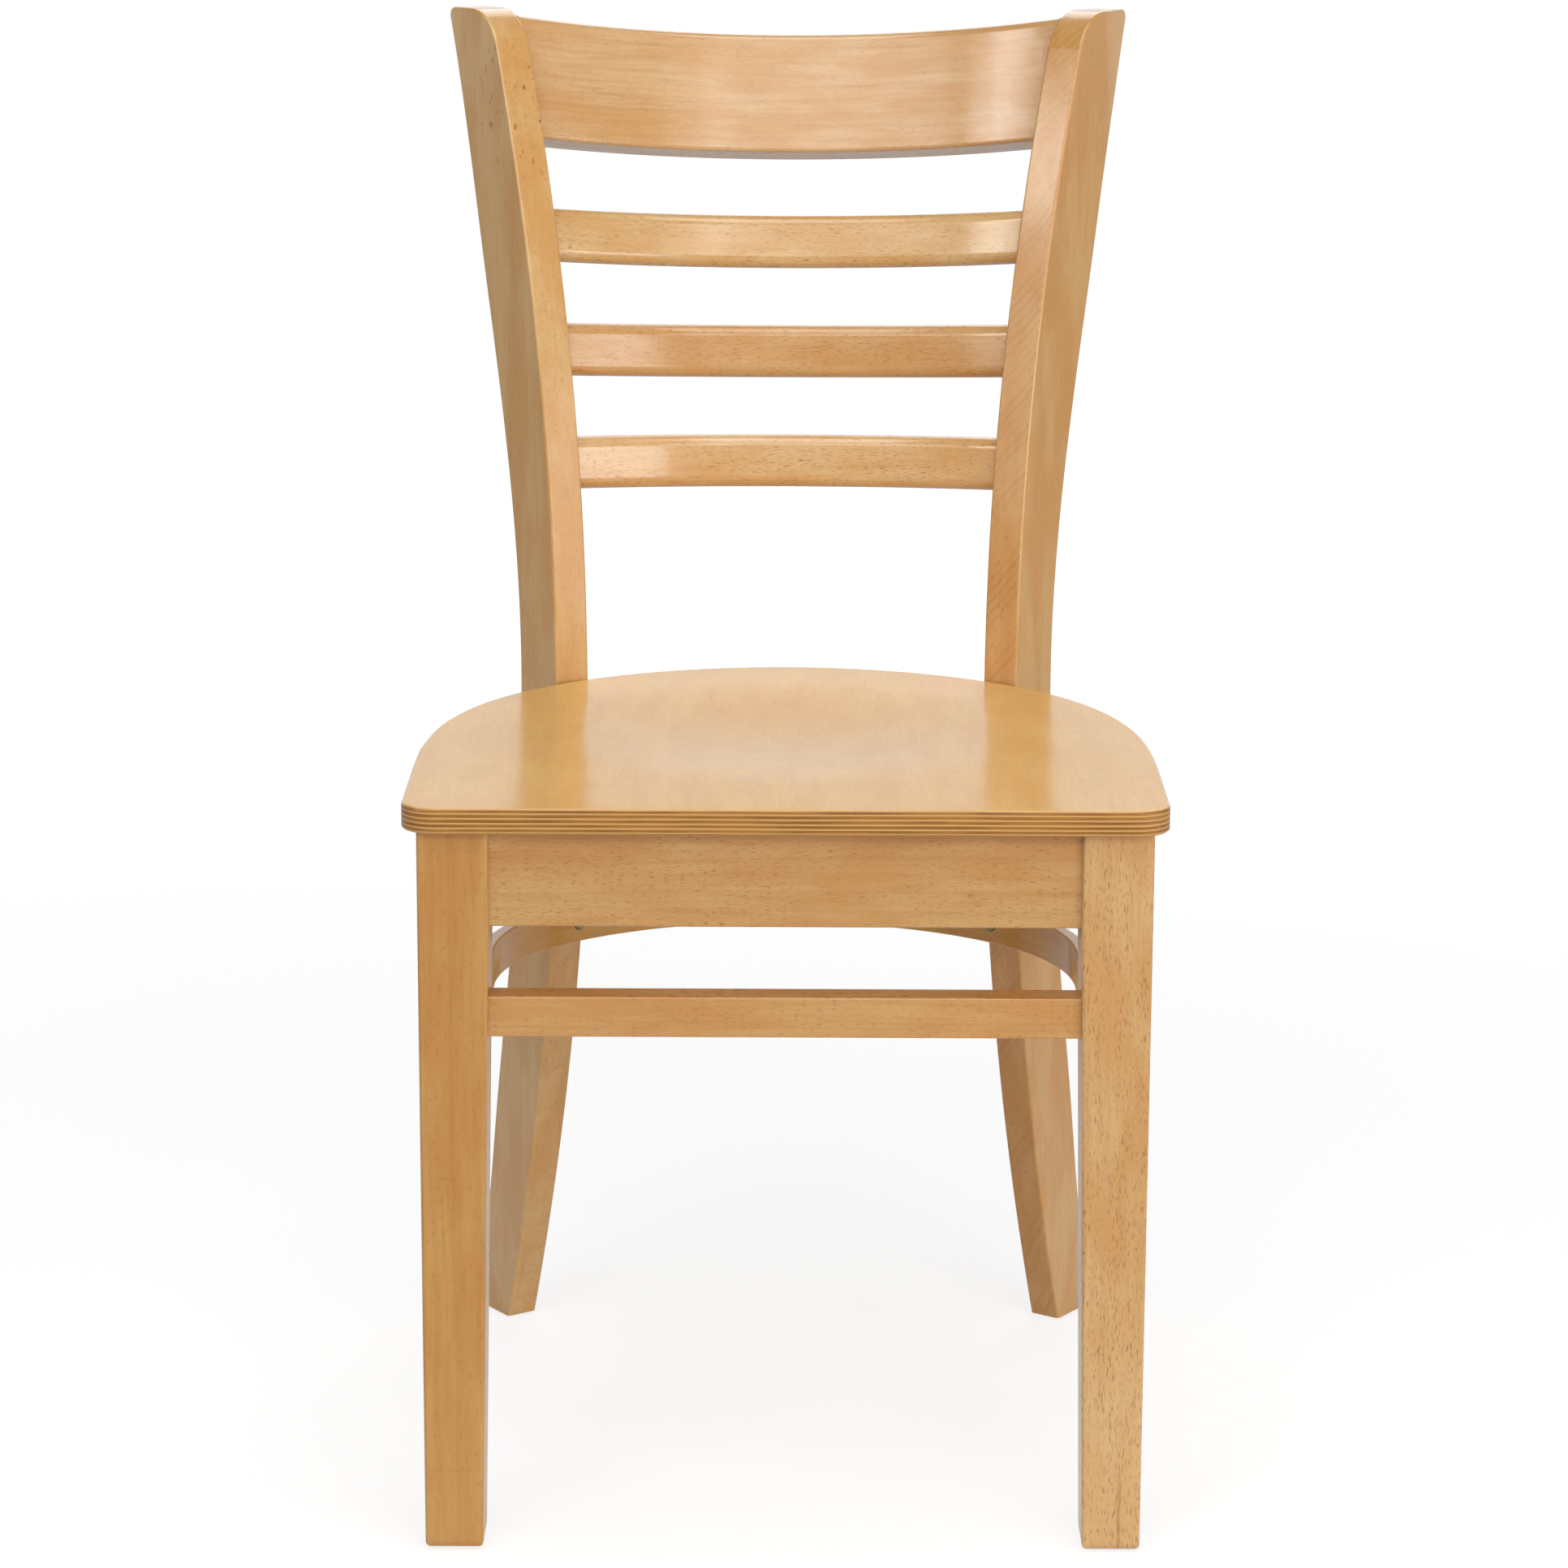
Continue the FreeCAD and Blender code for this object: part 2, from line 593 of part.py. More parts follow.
def dish(top):
    # a round hollow whose flanks run out level: half a cosine wave turned about its centre
    points = []
    for i in range(DISH_STEPS + 1):
        r = DISH_RADIUS * i / DISH_STEPS
        wave = (1 + math.cos(math.pi * i / DISH_STEPS)) / 2
        points.append(V(r, 0, DISH_RIM_LIFT - DISH_DEPTH * wave))
    profile = Part.BSplineCurve()
    profile.interpolate(Points=points, InitialTangent=V(1, 0, 0), FinalTangent=V(1, 0, 0))
    lid = V(0, 0, SEAT_EDGE_RADIUS)
    close = [Part.makeLine(points[-1], V(DISH_RADIUS, 0, 0) + lid),
             Part.makeLine(V(DISH_RADIUS, 0, 0) + lid, lid), Part.makeLine(lid, points[0])]
    lens = face_of([profile.toShape()] + close).revolve(V(0, 0, 0), UP, 360)
    lens.translate(V(0, DISH_CENTRE_FROM_FRONT - SEAT_FRONT_OVERHANG, top))
    return lens


def seat_panel():
    panel = seat_outline(SEAT_UNDERSIDE).extrude(V(0, 0, SEAT_THICKNESS))
    corners = edges_where(panel, lambda e: e.BoundBox.ZLength > SEAT_THICKNESS / 2
                         and e.CenterOfMass.y < 0)
    panel = panel.makeFillet(SEAT_CORNER_RADIUS, corners)
    rims = edges_where(panel, lambda e: e.BoundBox.ZLength < SLACK)
    panel = panel.makeFillet(SEAT_EDGE_RADIUS, rims)
    post = post_blank(SEAT_POST_CLEARANCE)
    panel = panel.cut([post, mirrored(post)])
    panel = panel.cut(dish(SEAT_HEIGHT))
    return panel.fuse(dish(SEAT_UNDERSIDE))


# Corner blocks, one in each front corner of the seat frame, notched round the leg

def block_points():
    arm = LEG_OUTER - APRON_ARM_INSET - APRON_THICKNESS
    rear_of_rail = RAIL_SETBACK + RAIL_THICKNESS
    z = SEAT_UNDERSIDE - BLOCK_HEIGHT
    return [V(LEG_INNER - BLOCK_RUN, rear_of_rail, z), V(LEG_INNER, rear_of_rail, z),
            V(LEG_INNER, LEG_DEPTH, z), V(arm, LEG_DEPTH, z), V(arm, LEG_DEPTH + BLOCK_RUN, z)]


def corner_block():
    return polygon_prism(block_points(), V(0, 0, BLOCK_HEIGHT))


# Dowels

def apron_dowels():
    x = LEG_OUTER - APRON_ARM_INSET - APRON_THICKNESS / 2
    mid = (APRON_BOTTOM + SEAT_UNDERSIDE) / 2
    out = []
    for sign in (-1, 1):
        start = V(x, LEG_DEPTH - APRON_DOWEL_LENGTH / 2, mid + sign * APRON_DOWEL_PITCH / 2)
        out.append((start, V(0, 1, 0), APRON_DOWEL_LENGTH, APRON_DOWEL_DIAMETER))
    return out


def brace_dowels():
    x = LEG_OUTER - BRACE_ARM_INSET - BRACE_THICKNESS / 2
    start = V(x, LEG_DEPTH - BRACE_DOWEL_LENGTH / 2, BRACE_BOTTOM + BRACE_HEIGHT / 2)
    return [(start, V(0, 1, 0), BRACE_DOWEL_LENGTH, BRACE_DOWEL_DIAMETER)]


def pins(items):
    return [cylinder(*item) for item in items]


def pin_holes(items, clearance):
    return [cylinder(a - d * clearance, d, n + 2 * clearance, w + 2 * clearance) for a, d, n, w in items]


# Bolts of the rear legs: hanger bolts with washers and nuts on the inside of the apron

def bolt_levels():
    mid = (APRON_BOTTOM + SEAT_UNDERSIDE) / 2
    return [mid - BOLT_PITCH / 2, mid + BOLT_PITCH / 2]


def apron_inside(z):
    u = post_front(APRON_BOTTOM) + APRON_PAST_POST - APRON_THICKNESS
    return post_point(u, z, POST_THICKNESS / 2)


def leg_bolts():
    out = []
    for z in bolt_levels():
        start = apron_inside(z) - ALONG * (WASHER_THICKNESS + NUT_HEIGHT + BOLT_STICKOUT)
        length = WASHER_THICKNESS + NUT_HEIGHT + BOLT_STICKOUT + APRON_THICKNESS + BOLT_IN_LEG
        out.append((start, ALONG, length, BOLT_DIAMETER))
    return out


def leg_washers():
    out = []
    for z in bolt_levels():
        start = apron_inside(z) - ALONG * WASHER_THICKNESS
        ring = cylinder(start, ALONG, WASHER_THICKNESS, WASHER_DIAMETER)
        bore = BOLT_DIAMETER + 2 * BOLT_HOLE_CLEARANCE
        out.append(ring.cut(through(start, ALONG, WASHER_THICKNESS, bore)))
    return out


def leg_nuts():
    out = []
    corner = NUT_ACROSS_FLATS / 2 / math.cos(math.pi / 6)
    for z in bolt_levels():
        seat = apron_inside(z) - ALONG * (WASHER_THICKNESS + NUT_HEIGHT)
        ring = []
        for i in range(6):
            a = math.pi * i / 3
            ring.append(seat + UP * (corner * math.cos(a)) + ACROSS * (corner * math.sin(a)))
        nut = polygon_prism(ring, ALONG * NUT_HEIGHT)
        thread = BOLT_DIAMETER + 2 * DOWEL_CLEARANCE
        out.append(nut.cut(through(seat, ALONG, NUT_HEIGHT, thread)))
    return out


# Wood screws: round head with a cross recess, shank and point, made along +Z from under the head

def wood_screw(under_head, direction, length, diameter, head_diameter, head_height):
    head = Part.makeCylinder(head_diameter / 2, head_height, V(0, 0, -head_height))
    crown = edges_where(head, lambda e: e.BoundBox.ZMax < SLACK - head_height)
    head = head.makeFillet(head_height * SCREW_CROWN_SHARE, crown)
    half = diameter / 2
    slot = diameter * SCREW_SLOT_SHARE / 2
    recess = [box(-half, half, -slot, slot, -head_height - OVERRUN, -head_height / 2),
              box(-slot, slot, -half, half, -head_height - OVERRUN, -head_height / 2)]
    shank = Part.makeCylinder(half, length - diameter)
    point = Part.makeCone(half, half * SCREW_POINT_SHARE, diameter, V(0, 0, length - diameter))
    screw = head.cut(recess).fuse([shank, point]).removeSplitter()
    screw.Placement = FreeCAD.Placement(under_head, FreeCAD.Rotation(UP, direction))
    return screw


def screw_hole(under_head, direction, length, diameter):
    wide = diameter + 2 * SCREW_HOLE_CLEARANCE
    start = under_head - direction * OVERRUN
    return cylinder(start, direction, length + OVERRUN + SCREW_HOLE_CLEARANCE, wide)


def head_pocket(under_head, direction, depth, head_diameter):
    wide = head_diameter + 2 * SCREW_HEAD_CLEARANCE
    return cylinder(under_head, direction * -1, depth, wide)


def path_end(arm_x, arcs):
    point = V(arm_x, 0, 0)
    heading = math.pi / 2
    for radius, turn, run in arcs:
        point = point + V(math.cos(heading), math.sin(heading), 0) * run
        point = arc_from(point, heading, radius, turn)[1]
        heading += turn
    return point


def seat_screws():
    block = block_points()
    front = (block[3] + block[4]) * 0.5 - V(BLOCK_RUN / 4, 0, 0)
    arm, arcs = apron_path()
    apex = path_end(arm, arcs)
    rear_radius = arcs[-1][0]
    x = SEAT_SCREW_REAR_HALF_SPAN
    y = apex.y - rear_radius + math.sqrt((rear_radius - APRON_THICKNESS / 2) ** 2 - x * x)
    z = SEAT_UNDERSIDE - BLOCK_HEIGHT
    length = BLOCK_HEIGHT + SEAT_SCREW_IN_SEAT
    return [(V(front.x, front.y, z), UP, length, SEAT_SCREW_DIAMETER),
            (V(x, y, z), UP, length, SEAT_SCREW_DIAMETER)]


def block_screws():
    block = block_points()
    run = block[4] - block[0]
    inward = V(run.y, -run.x, 0).normalize()
    middle = (block[0] + block[4]) * 0.5 + UP * (BLOCK_HEIGHT / 2)
    to_leg = (block[2] - block[0]).dot(inward)
    return [(middle, inward, to_leg + BLOCK_SCREW_IN_LEG, BLOCK_SCREW_DIAMETER)]


def brace_screws():
    z = BRACE_BOTTOM + BRACE_HEIGHT / 2
    face = post_point(post_front(z), z, POST_THICKNESS - BRACE_SCREW_FROM_EDGE)
    arm, arcs = brace_path()
    centre = V(arm - arcs[0][0], arcs[0][2], z)
    inner = arcs[0][0] - BRACE_THICKNESS
    offset = face - centre
    along = offset.dot(ALONG)
    back = along - math.sqrt(along * along - offset.Length ** 2 + inner * inner)
    under_head = face - ALONG * (back - BRACE_SCREW_SUNK)
    return [(under_head, ALONG, back - BRACE_SCREW_SUNK + BRACE_SCREW_IN_LEG, BRACE_SCREW_DIAMETER)]


def screws(items, head_diameter, head_height):
    return [wood_screw(a, d, n, w, head_diameter, head_height) for a, d, n, w in items]


def screw_holes(items):
    return [screw_hole(a, d, n, w) for a, d, n, w in items]


# Glides: a thin disc under each foot on a driven pin

def glide_centres():
    return [V(LEG_OUTER - LEG_FOOT_WIDTH / 2, LEG_FOOT_DEPTH / 2, 0),
            post_point(POST_FOOT_KICK + POST_FOOT_DEPTH / 2, 0, POST_FOOT_THICKNESS / 2)]


def glides():
    out = []
    for centre in glide_centres():
        disc = cylinder(centre, UP, GLIDE_THICKNESS, GLIDE_DIAMETER)
        pin = cylinder(centre, UP, GLIDE_THICKNESS + GLIDE_PIN_LENGTH, GLIDE_PIN_DIAMETER)
        out.append(disc.fuse(pin).removeSplitter())
    return out


def glide_pin_holes():
    length = GLIDE_THICKNESS + GLIDE_PIN_LENGTH
    wide = GLIDE_PIN_DIAMETER + 2 * DOWEL_CLEARANCE
    return [cylinder(c, UP, length + DOWEL_CLEARANCE, wide) for c in glide_centres()]


# Finished legs, rails and strips with their joints cut

def front_leg():
    cuts = [rail_tenon(TENON_CLEARANCE), stretcher_tenon(TENON_CLEARANCE)]
    cuts += pin_holes(apron_dowels() + brace_dowels(), DOWEL_CLEARANCE)
    cuts += screw_holes(block_screws()) + glide_pin_holes()
    return front_leg_shaped().cut(cuts)


def rear_leg():
    cuts = [slat_tenon(i, TENON_CLEARANCE) for i in range(SLAT_COUNT)]
    cuts.append(crest_tenon(TENON_CLEARANCE))
    cuts += pin_holes(leg_bolts(), DOWEL_CLEARANCE)
    cuts += screw_holes(brace_screws()) + glide_pin_holes()
    return post_shaped().cut(cuts)


def rear_leg_with_facet():
    # a narrow sawn facet on the outer rear corner of one post, running out downwards
    top = post_point(post_front(POST_TOP) + post_depth(POST_TOP) - POST_FACET_WIDTH, POST_TOP)
    foot = POST_TOP - POST_FACET_LENGTH
    end = post_point(post_front(foot) + post_depth(foot), foot)
    line = top - end
    start = end - line
    rearward = ACROSS.cross(line).normalize()
    wide = rearward * (POST_FACET_WIDTH + POST_TOP_DEPTH)
    sunk = ACROSS * (wide.Length * math.tan(math.radians(POST_FACET_ANGLE)))
    outside = ACROSS * -POST_THICKNESS
    section = [start, start + wide + sunk, start + wide + outside, start + outside]
    return rear_leg().cut(polygon_prism(section, line * 3))


def seat_apron():
    strip = fitted_strip(apron_blank())
    holes = pin_holes(apron_dowels(), DOWEL_CLEARANCE) + screw_holes(seat_screws()[1:])
    for start, direction, length, width in leg_bolts():
        holes.append(cylinder(start, direction, length, width + 2 * BOLT_HOLE_CLEARANCE))
    under_head = seat_screws()[1][0]
    holes.append(head_pocket(under_head, UP, under_head.z - APRON_BOTTOM + OVERRUN,
                             SEAT_SCREW_HEAD_DIAMETER))
    return strip.cut(holes + [mirrored(h) for h in holes])


def u_brace():
    strip = brace_blank()
    rims = edges_where(strip, lambda e: e.BoundBox.ZLength < SLACK and e.Length > 2 * BRACE_THICKNESS)
    strip = fitted_strip(strip.makeFillet(BRACE_ARRIS_RADIUS, rims))
    holes = pin_holes(brace_dowels(), DOWEL_CLEARANCE) + screw_holes(brace_screws())
    under_head, direction = brace_screws()[0][:2]
    holes.append(head_pocket(under_head, direction, BRACE_THICKNESS, BRACE_SCREW_HEAD_DIAMETER))
    return strip.cut(holes + [mirrored(h) for h in holes])


def drilled_block():
    return corner_block().cut(screw_holes(block_screws() + seat_screws()[:1]))


def drilled_seat():
    holes = screw_holes(seat_screws())
    return seat_panel().cut(holes + [mirrored(h) for h in holes])


def all_seat_screws():
    return both_sides(screws(seat_screws(), SEAT_SCREW_HEAD_DIAMETER, SEAT_SCREW_HEAD_HEIGHT))


def all_block_screws():
    return both_sides(screws(block_screws(), BLOCK_SCREW_HEAD_DIAMETER, BLOCK_SCREW_HEAD_HEIGHT))


def all_brace_screws():
    return both_sides(screws(brace_screws(), BRACE_SCREW_HEAD_DIAMETER, BRACE_SCREW_HEAD_HEIGHT))


def slat_name(index):
    if SLAT_COUNT == 3:
        return ("slat_lower", "slat_middle", "slat_upper")[index]
    return "slat_%d" % (index + 1)


def pieces():
    leg = front_leg()
    block = drilled_block()
    parts = {
        "seat_panel": drilled_seat(),
        "front_leg_left": mirrored(leg),
        "front_leg_right": leg,
        "rear_leg_left": mirrored(rear_leg()),
        "rear_leg_right": rear_leg_with_facet(),
        "front_rail": front_rail(),
        "seat_apron": seat_apron(),
        "front_stretcher": front_stretcher(),
        "u_brace": u_brace(),
        "crest_rail": crest_rail(),
        "corner_block_left": mirrored(block),
        "corner_block_right": block,
        "apron_dowels": both_sides(pins(apron_dowels())),
        "brace_dowels": both_sides(pins(brace_dowels())),
        "leg_bolts": both_sides(pins(leg_bolts())),
        "leg_washers": both_sides(leg_washers()),
        "leg_nuts": both_sides(leg_nuts()),
        "seat_screws": all_seat_screws(),
        "block_screws": all_block_screws(),
        "brace_screws": all_brace_screws(),
        "foot_glides": both_sides(glides()),
    }
    for i in range(SLAT_COUNT):
        parts[slat_name(i)] = slat(i)
    return parts


def footprint_centre(parts):
    front = -SEAT_FRONT_OVERHANG
    rear = max(p.optimalBoundingBox(False, False).YMax for p in parts.values())
    return (front + rear) / 2


def main():
    parts = pieces()
    shift = V(0, -footprint_centre(parts), 0)
    os.makedirs("parts", exist_ok=True)
    for name, shape in parts.items():
        shape.translate(shift)
        print(name, len(shape.Solids), round(shape.Volume), shape.isValid())
        shape.exportStep("parts/%s.step" % name)


main()
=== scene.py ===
import math

import bpy
from mathutils import Matrix, Vector


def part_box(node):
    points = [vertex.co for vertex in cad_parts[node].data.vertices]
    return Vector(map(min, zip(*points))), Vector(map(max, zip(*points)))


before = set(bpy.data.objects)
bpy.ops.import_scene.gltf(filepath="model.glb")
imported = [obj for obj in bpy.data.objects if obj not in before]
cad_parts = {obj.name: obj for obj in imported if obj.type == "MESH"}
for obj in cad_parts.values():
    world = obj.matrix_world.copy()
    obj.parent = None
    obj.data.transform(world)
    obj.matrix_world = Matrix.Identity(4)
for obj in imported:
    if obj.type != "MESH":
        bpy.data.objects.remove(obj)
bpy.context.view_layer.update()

# A ladderback dining chair in lacquered beech. Places are in metres, the front is -Y and right is
# +X; sizes in the wood's figure are in millimetres, and colours are display values of 0 to 255.

X = Vector((1.0, 0.0, 0.0))
Y = Vector((0.0, 1.0, 0.0))
Z = Vector((0.0, 0.0, 1.0))
MILLIMETRES = 1000.0

# Camera, solved from the chair's edges in the photograph
CAMERA_PLACE = (-0.0010, -2.7355, 1.0081)
CAMERA_PITCH = math.radians(12.478)
CAMERA_ROLL = 0.0042
CAMERA_LENS = 103.75
CAMERA_SENSOR = 36.0

# The planks that the rear legs are sawn from: the directions of their width and thickness
PLANK_ANGLE = math.radians(35.0)
PLANK_WIDTH = Vector((math.sin(PLANK_ANGLE), math.cos(PLANK_ANGLE), 0.0))
PLANK_THICKNESS = Vector((-math.cos(PLANK_ANGLE), math.sin(PLANK_ANGLE), 0.0))
LEFT_RING_TURN = math.radians(80.0)

# The ladder's rungs: the radius of their bow, and how far back each one leans
LADDER_RADIUS = 0.275
LADDER_LEAN = {"slat_lower": 0.10, "slat_middle": 0.14, "slat_upper": 0.19, "crest_rail": 0.24}

# Share of the apron's half width that its corners take up
APRON_BEND = 0.7

# Sizes of the beech's features along the grain, across the rings and along the rings
SWAY_SIZE = (220.0, 45.0, 45.0)
RIPPLE_SIZE = (48.0, 15.0, 15.0)
RIPPLE_DRIFT = 5.0
STREAK_SIZE = (60.0, 2.6, 2.6)
CLOUD_SIZE = (75.0, 22.0, 22.0)
RAY_SIZE = (4.4, 3.0, 0.52)
CROWD_SIZE = (60.0, 20.0, 12.0)

# Where each feature starts to show in its noise and where it is full
YEAR_LIMITS = (0.3, 0.7)
STREAK_LIMITS = (0.35, 0.75)
CLOUD_LIMITS = (0.36, 0.62)
RAY_LIMITS = (0.58, 0.71)
CROWD_LIMITS = (0.15, 0.55)
SPOT_LIMITS = (0.62, 0.74)
FACING_LIMITS = (0.5, 0.8)

# One growth ring from its early to its late wood, and how far apart neighbouring years are drawn
RING_STOPS = [(0.0, 0.12), (0.55, 0.3), (0.9, 0.95), (1.0, 0.12)]
YEAR_SCALE = 0.37

# Shifts per unit of seed, so that no two boards are cut from the same place
FIGURE_SHIFT = (7.31, 3.17, 5.93)
LACQUER_SHIFT = (0.37, 0.11, 0.23)

# Parts of a board's tone, and how much of the streaks, rays and marks shows
DEEP_TINT = (0.88, 0.80, 0.66)
WARM_TINT = (0.97, 0.91, 0.82)
# The paler tone of the painted floor light on the front legs' lower ends
PAINTED_FLOOR_LIGHT_TINT = (1.045, 1.095, 1.165)
RAY_TINT = (0.70, 0.55, 0.41)
STREAK_SHARE = 0.4
RAY_SHARE = 0.55

# Painted floor light: the front legs' lower ends paled, as heights over which the paling fades in
PAINTED_FLOOR_LIGHT_LIMITS = (0.20, 0.05)

# The thin mineral streak above the right front foot
VEIN_X = 0.1959
VEIN_TOP = 0.056
VEIN_FULL = 0.6
VEIN_HALF_WIDTH = 0.0016
VEIN_WOBBLE = 0.004
VEIN_WOBBLE_SCALE = 60.0
VEIN_SHARE = 0.6
VEIN_COLOUR = (178, 116, 66)

# The small dark specks near the top of the left rear leg
SPECKS_INSET = 0.055
SPECKS_Y = 0.14
SPECKS_REACH = 0.06
SPECKS_CORE = 0.45
SPECKS_SCALE = (210.0, 210.0, 130.0)
SPECKS_SHARE = 0.8
SPECKS_COLOUR = (150, 96, 52)

# Satin lacquer on beech
UNEVEN_SCALE = 70.0
GRIT_SCALE = 900.0
ROUGHNESS = 0.34
ROUGHNESS_UNEVEN = 0.12
ROUGHNESS_IN_RAYS = 0.10
RAY_HEIGHT = -0.6
STREAK_HEIGHT = 0.8
GRIT_HEIGHT = 0.5
WOOD_RELIEF = (0.00004, 0.6)
COAT_RELIEF = (0.00002, 0.35)
COAT_WAVES = (0.0006, 0.25)
WOOD_SPECULAR = 0.1
COAT_WEIGHT = 1.0
COAT_ROUGHNESS = 0.17
COAT_IOR = 1.48

# Moulded plywood seat: its face veneer
SEAT_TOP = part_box("seat_panel")[1].z
SEAT_SEED = 11.0
SEAT_SWAY_SIZE = (260.0, 400.0, 90.0)
SEAT_SWAY_WIDTH = 90.0
SEAT_RING = 7.0
SEAT_PITH = 40.0
SEAT_WANDER = 8.0
SEAT_LIGHT = (243, 192, 112)
SEAT_WARM = (237, 182, 102)
SEAT_DEEP = (214, 158, 84)
SEAT_RAYS = (160, 110, 62)
SEAT_CLOUD_LIMITS = (0.3, 0.7)
SEAT_STREAK_LIMITS = (0.4, 0.8)
SEAT_RING_SHARE = 0.10
SEAT_STREAK_SHARE = 0.25
SEAT_RAY_SHARE = 0.15
SEAT_COAT = 0.7

# The seat's edge: where its surface stops facing up, and the plies by depth below its top
EDGE_LIMITS = (0.88, 0.80)
# The edge's pale top band: the face veneer, partly a painted highlight along the top arris
PLY_FACE_AND_ARRIS_HIGHLIGHT_LIMITS = (1.0, 0.6)
PLY_LINES = (2.9, 5.7, 8.5, 11.2, 13.8)
PLY_LINE_LIMITS = (0.75, 0.25)
PLY_WOBBLE_SCALE = (14.0, 14.0, 60.0)
PLY_WOBBLE = 0.5
PLY_FIBRE_SCALE = (500.0, 500.0, 2600.0)
PLY_PATCH_SCALE = (25.0, 25.0, 340.0)
PLY_FIBRE_LIMITS = (0.3, 0.7)
PLY_PATCH_LIMITS = (0.35, 0.65)
PLY_DARK = (130, 79, 24)
PLY_BROWN = (154, 100, 38)
PLY_WARM = (166, 113, 48)
PLY_PALE = (208, 160, 92)

# Zinc-plated steel of the bolts and screws, and the glides' plastic
SURFACE_LIMITS = (0.3, 0.7)
STEEL_CLOUD_SCALE = 420.0
STEEL_SPANGLE_SCALE = 1500.0
STEEL_DARK = (112, 114, 84)
STEEL_LIGHT = (138, 138, 104)
STEEL_ROUGHNESS = 0.26
STEEL_RELIEF = (0.00005, 0.4)
PLASTIC_GRIT_SCALE = 1400.0
PLASTIC_DARK = (34, 29, 26)
PLASTIC_LIGHT = (52, 46, 42)
PLASTIC_ROUGHNESS = 0.5
PLASTIC_RELIEF = (0.00006, 0.5)
ROUGHNESS_SWING = 0.2

# The floor as the camera sees it: a glow that grows with distance, and a little shaded white
FLOOR_HALF = 60.0
FLOOR_GLOW = 0.78
FLOOR_GLOW_FAR = 1.0
FLOOR_GLOW_LIMITS = (0.7, 3.6)
FLOOR_SHADE = (0.30, 0.30, 0.30, 1.0)

# The floor for light that bounces off it: paler close to the chair
FLOOR_PALE = 0.62
FLOOR_PALE_NEAR = 0.90
FLOOR_PALE_LIMITS = (1.0, 0.35)

# How much of the seen floor shows in reflections: all of it only well behind the chair
FLOOR_MIRRORED = 0.24
FLOOR_MIRRORED_FAR = 1.0
FLOOR_MIRRORED_LIMITS = (4.5, 7.5)

# The room: its plain fill, and a wall behind the chair that only reflections see
WORLD_FILL = 0.10
WORLD_SIDES = 0.28
WORLD_WALL_LIMITS = (0.35, 0.7)
WORLD_HIGH_LOSS = 0.55
WORLD_HIGH_LIMITS = (0.2, 0.42)
WHITE = (1.0, 1.0, 1.0, 1.0)

# Soft lamps round the chair: azimuth from the camera's side, positive to the right, and elevation
# in degrees; distance, width and height in metres; and the level
LAMPS = (
    ("bank_over_camera", -11.0, 24.0, 3.4, 4.2, 1.1, 3.0),
    ("front_high", -4.0, 50.0, 3.0, 2.4, 0.9, 3.2),
    ("overhead", 0.0, 78.0, 2.6, 2.0, 1.8, 1.8),
    ("fill_left", -60.0, 8.0, 3.2, 1.2, 1.2, 1.3),
    ("glint_left", -56.0, 16.0, 3.2, 0.6, 0.7, 8.5),
    ("glint_left_high", -66.0, 24.0, 3.2, 0.6, 0.5, 9.5),
    ("glint_overhead", 0.0, 72.0, 2.6, 2.2, 0.9, 3.5),
    ("softbox_right_low", 44.0, 0.0, 3.2, 1.6, 1.1, 4.6),
    ("softbox_right_side", 70.0, -2.0, 3.2, 1.8, 1.1, 2.1),
    ("softbox_right_high", 25.0, 19.0, 3.3, 1.0, 0.9, 2.8),
    ("softbox_behind", 170.0, 38.0, 3.2, 2.6, 1.6, 2.1),
)
ROUND_LAMPS = ("softbox_right_low",)
LAMPS_FOR_GLINTS = ("glint_left", "glint_left_high", "glint_overhead")
LAMP_AIM = Vector((0.0, 0.05, 0.68))


def linear(r, g, b):
    """A display colour of 0 to 255 as the linear colour that the shaders take."""
    def one(value):
        value /= 255.0
        return value / 12.92 if value <= 0.04045 else ((value + 0.055) / 1.055) ** 2.4
    return (one(r), one(g), one(b), 1.0)


def tinted(tone, tint):
    return linear(*(value * share for value, share in zip(tone, tint)))


# Node building

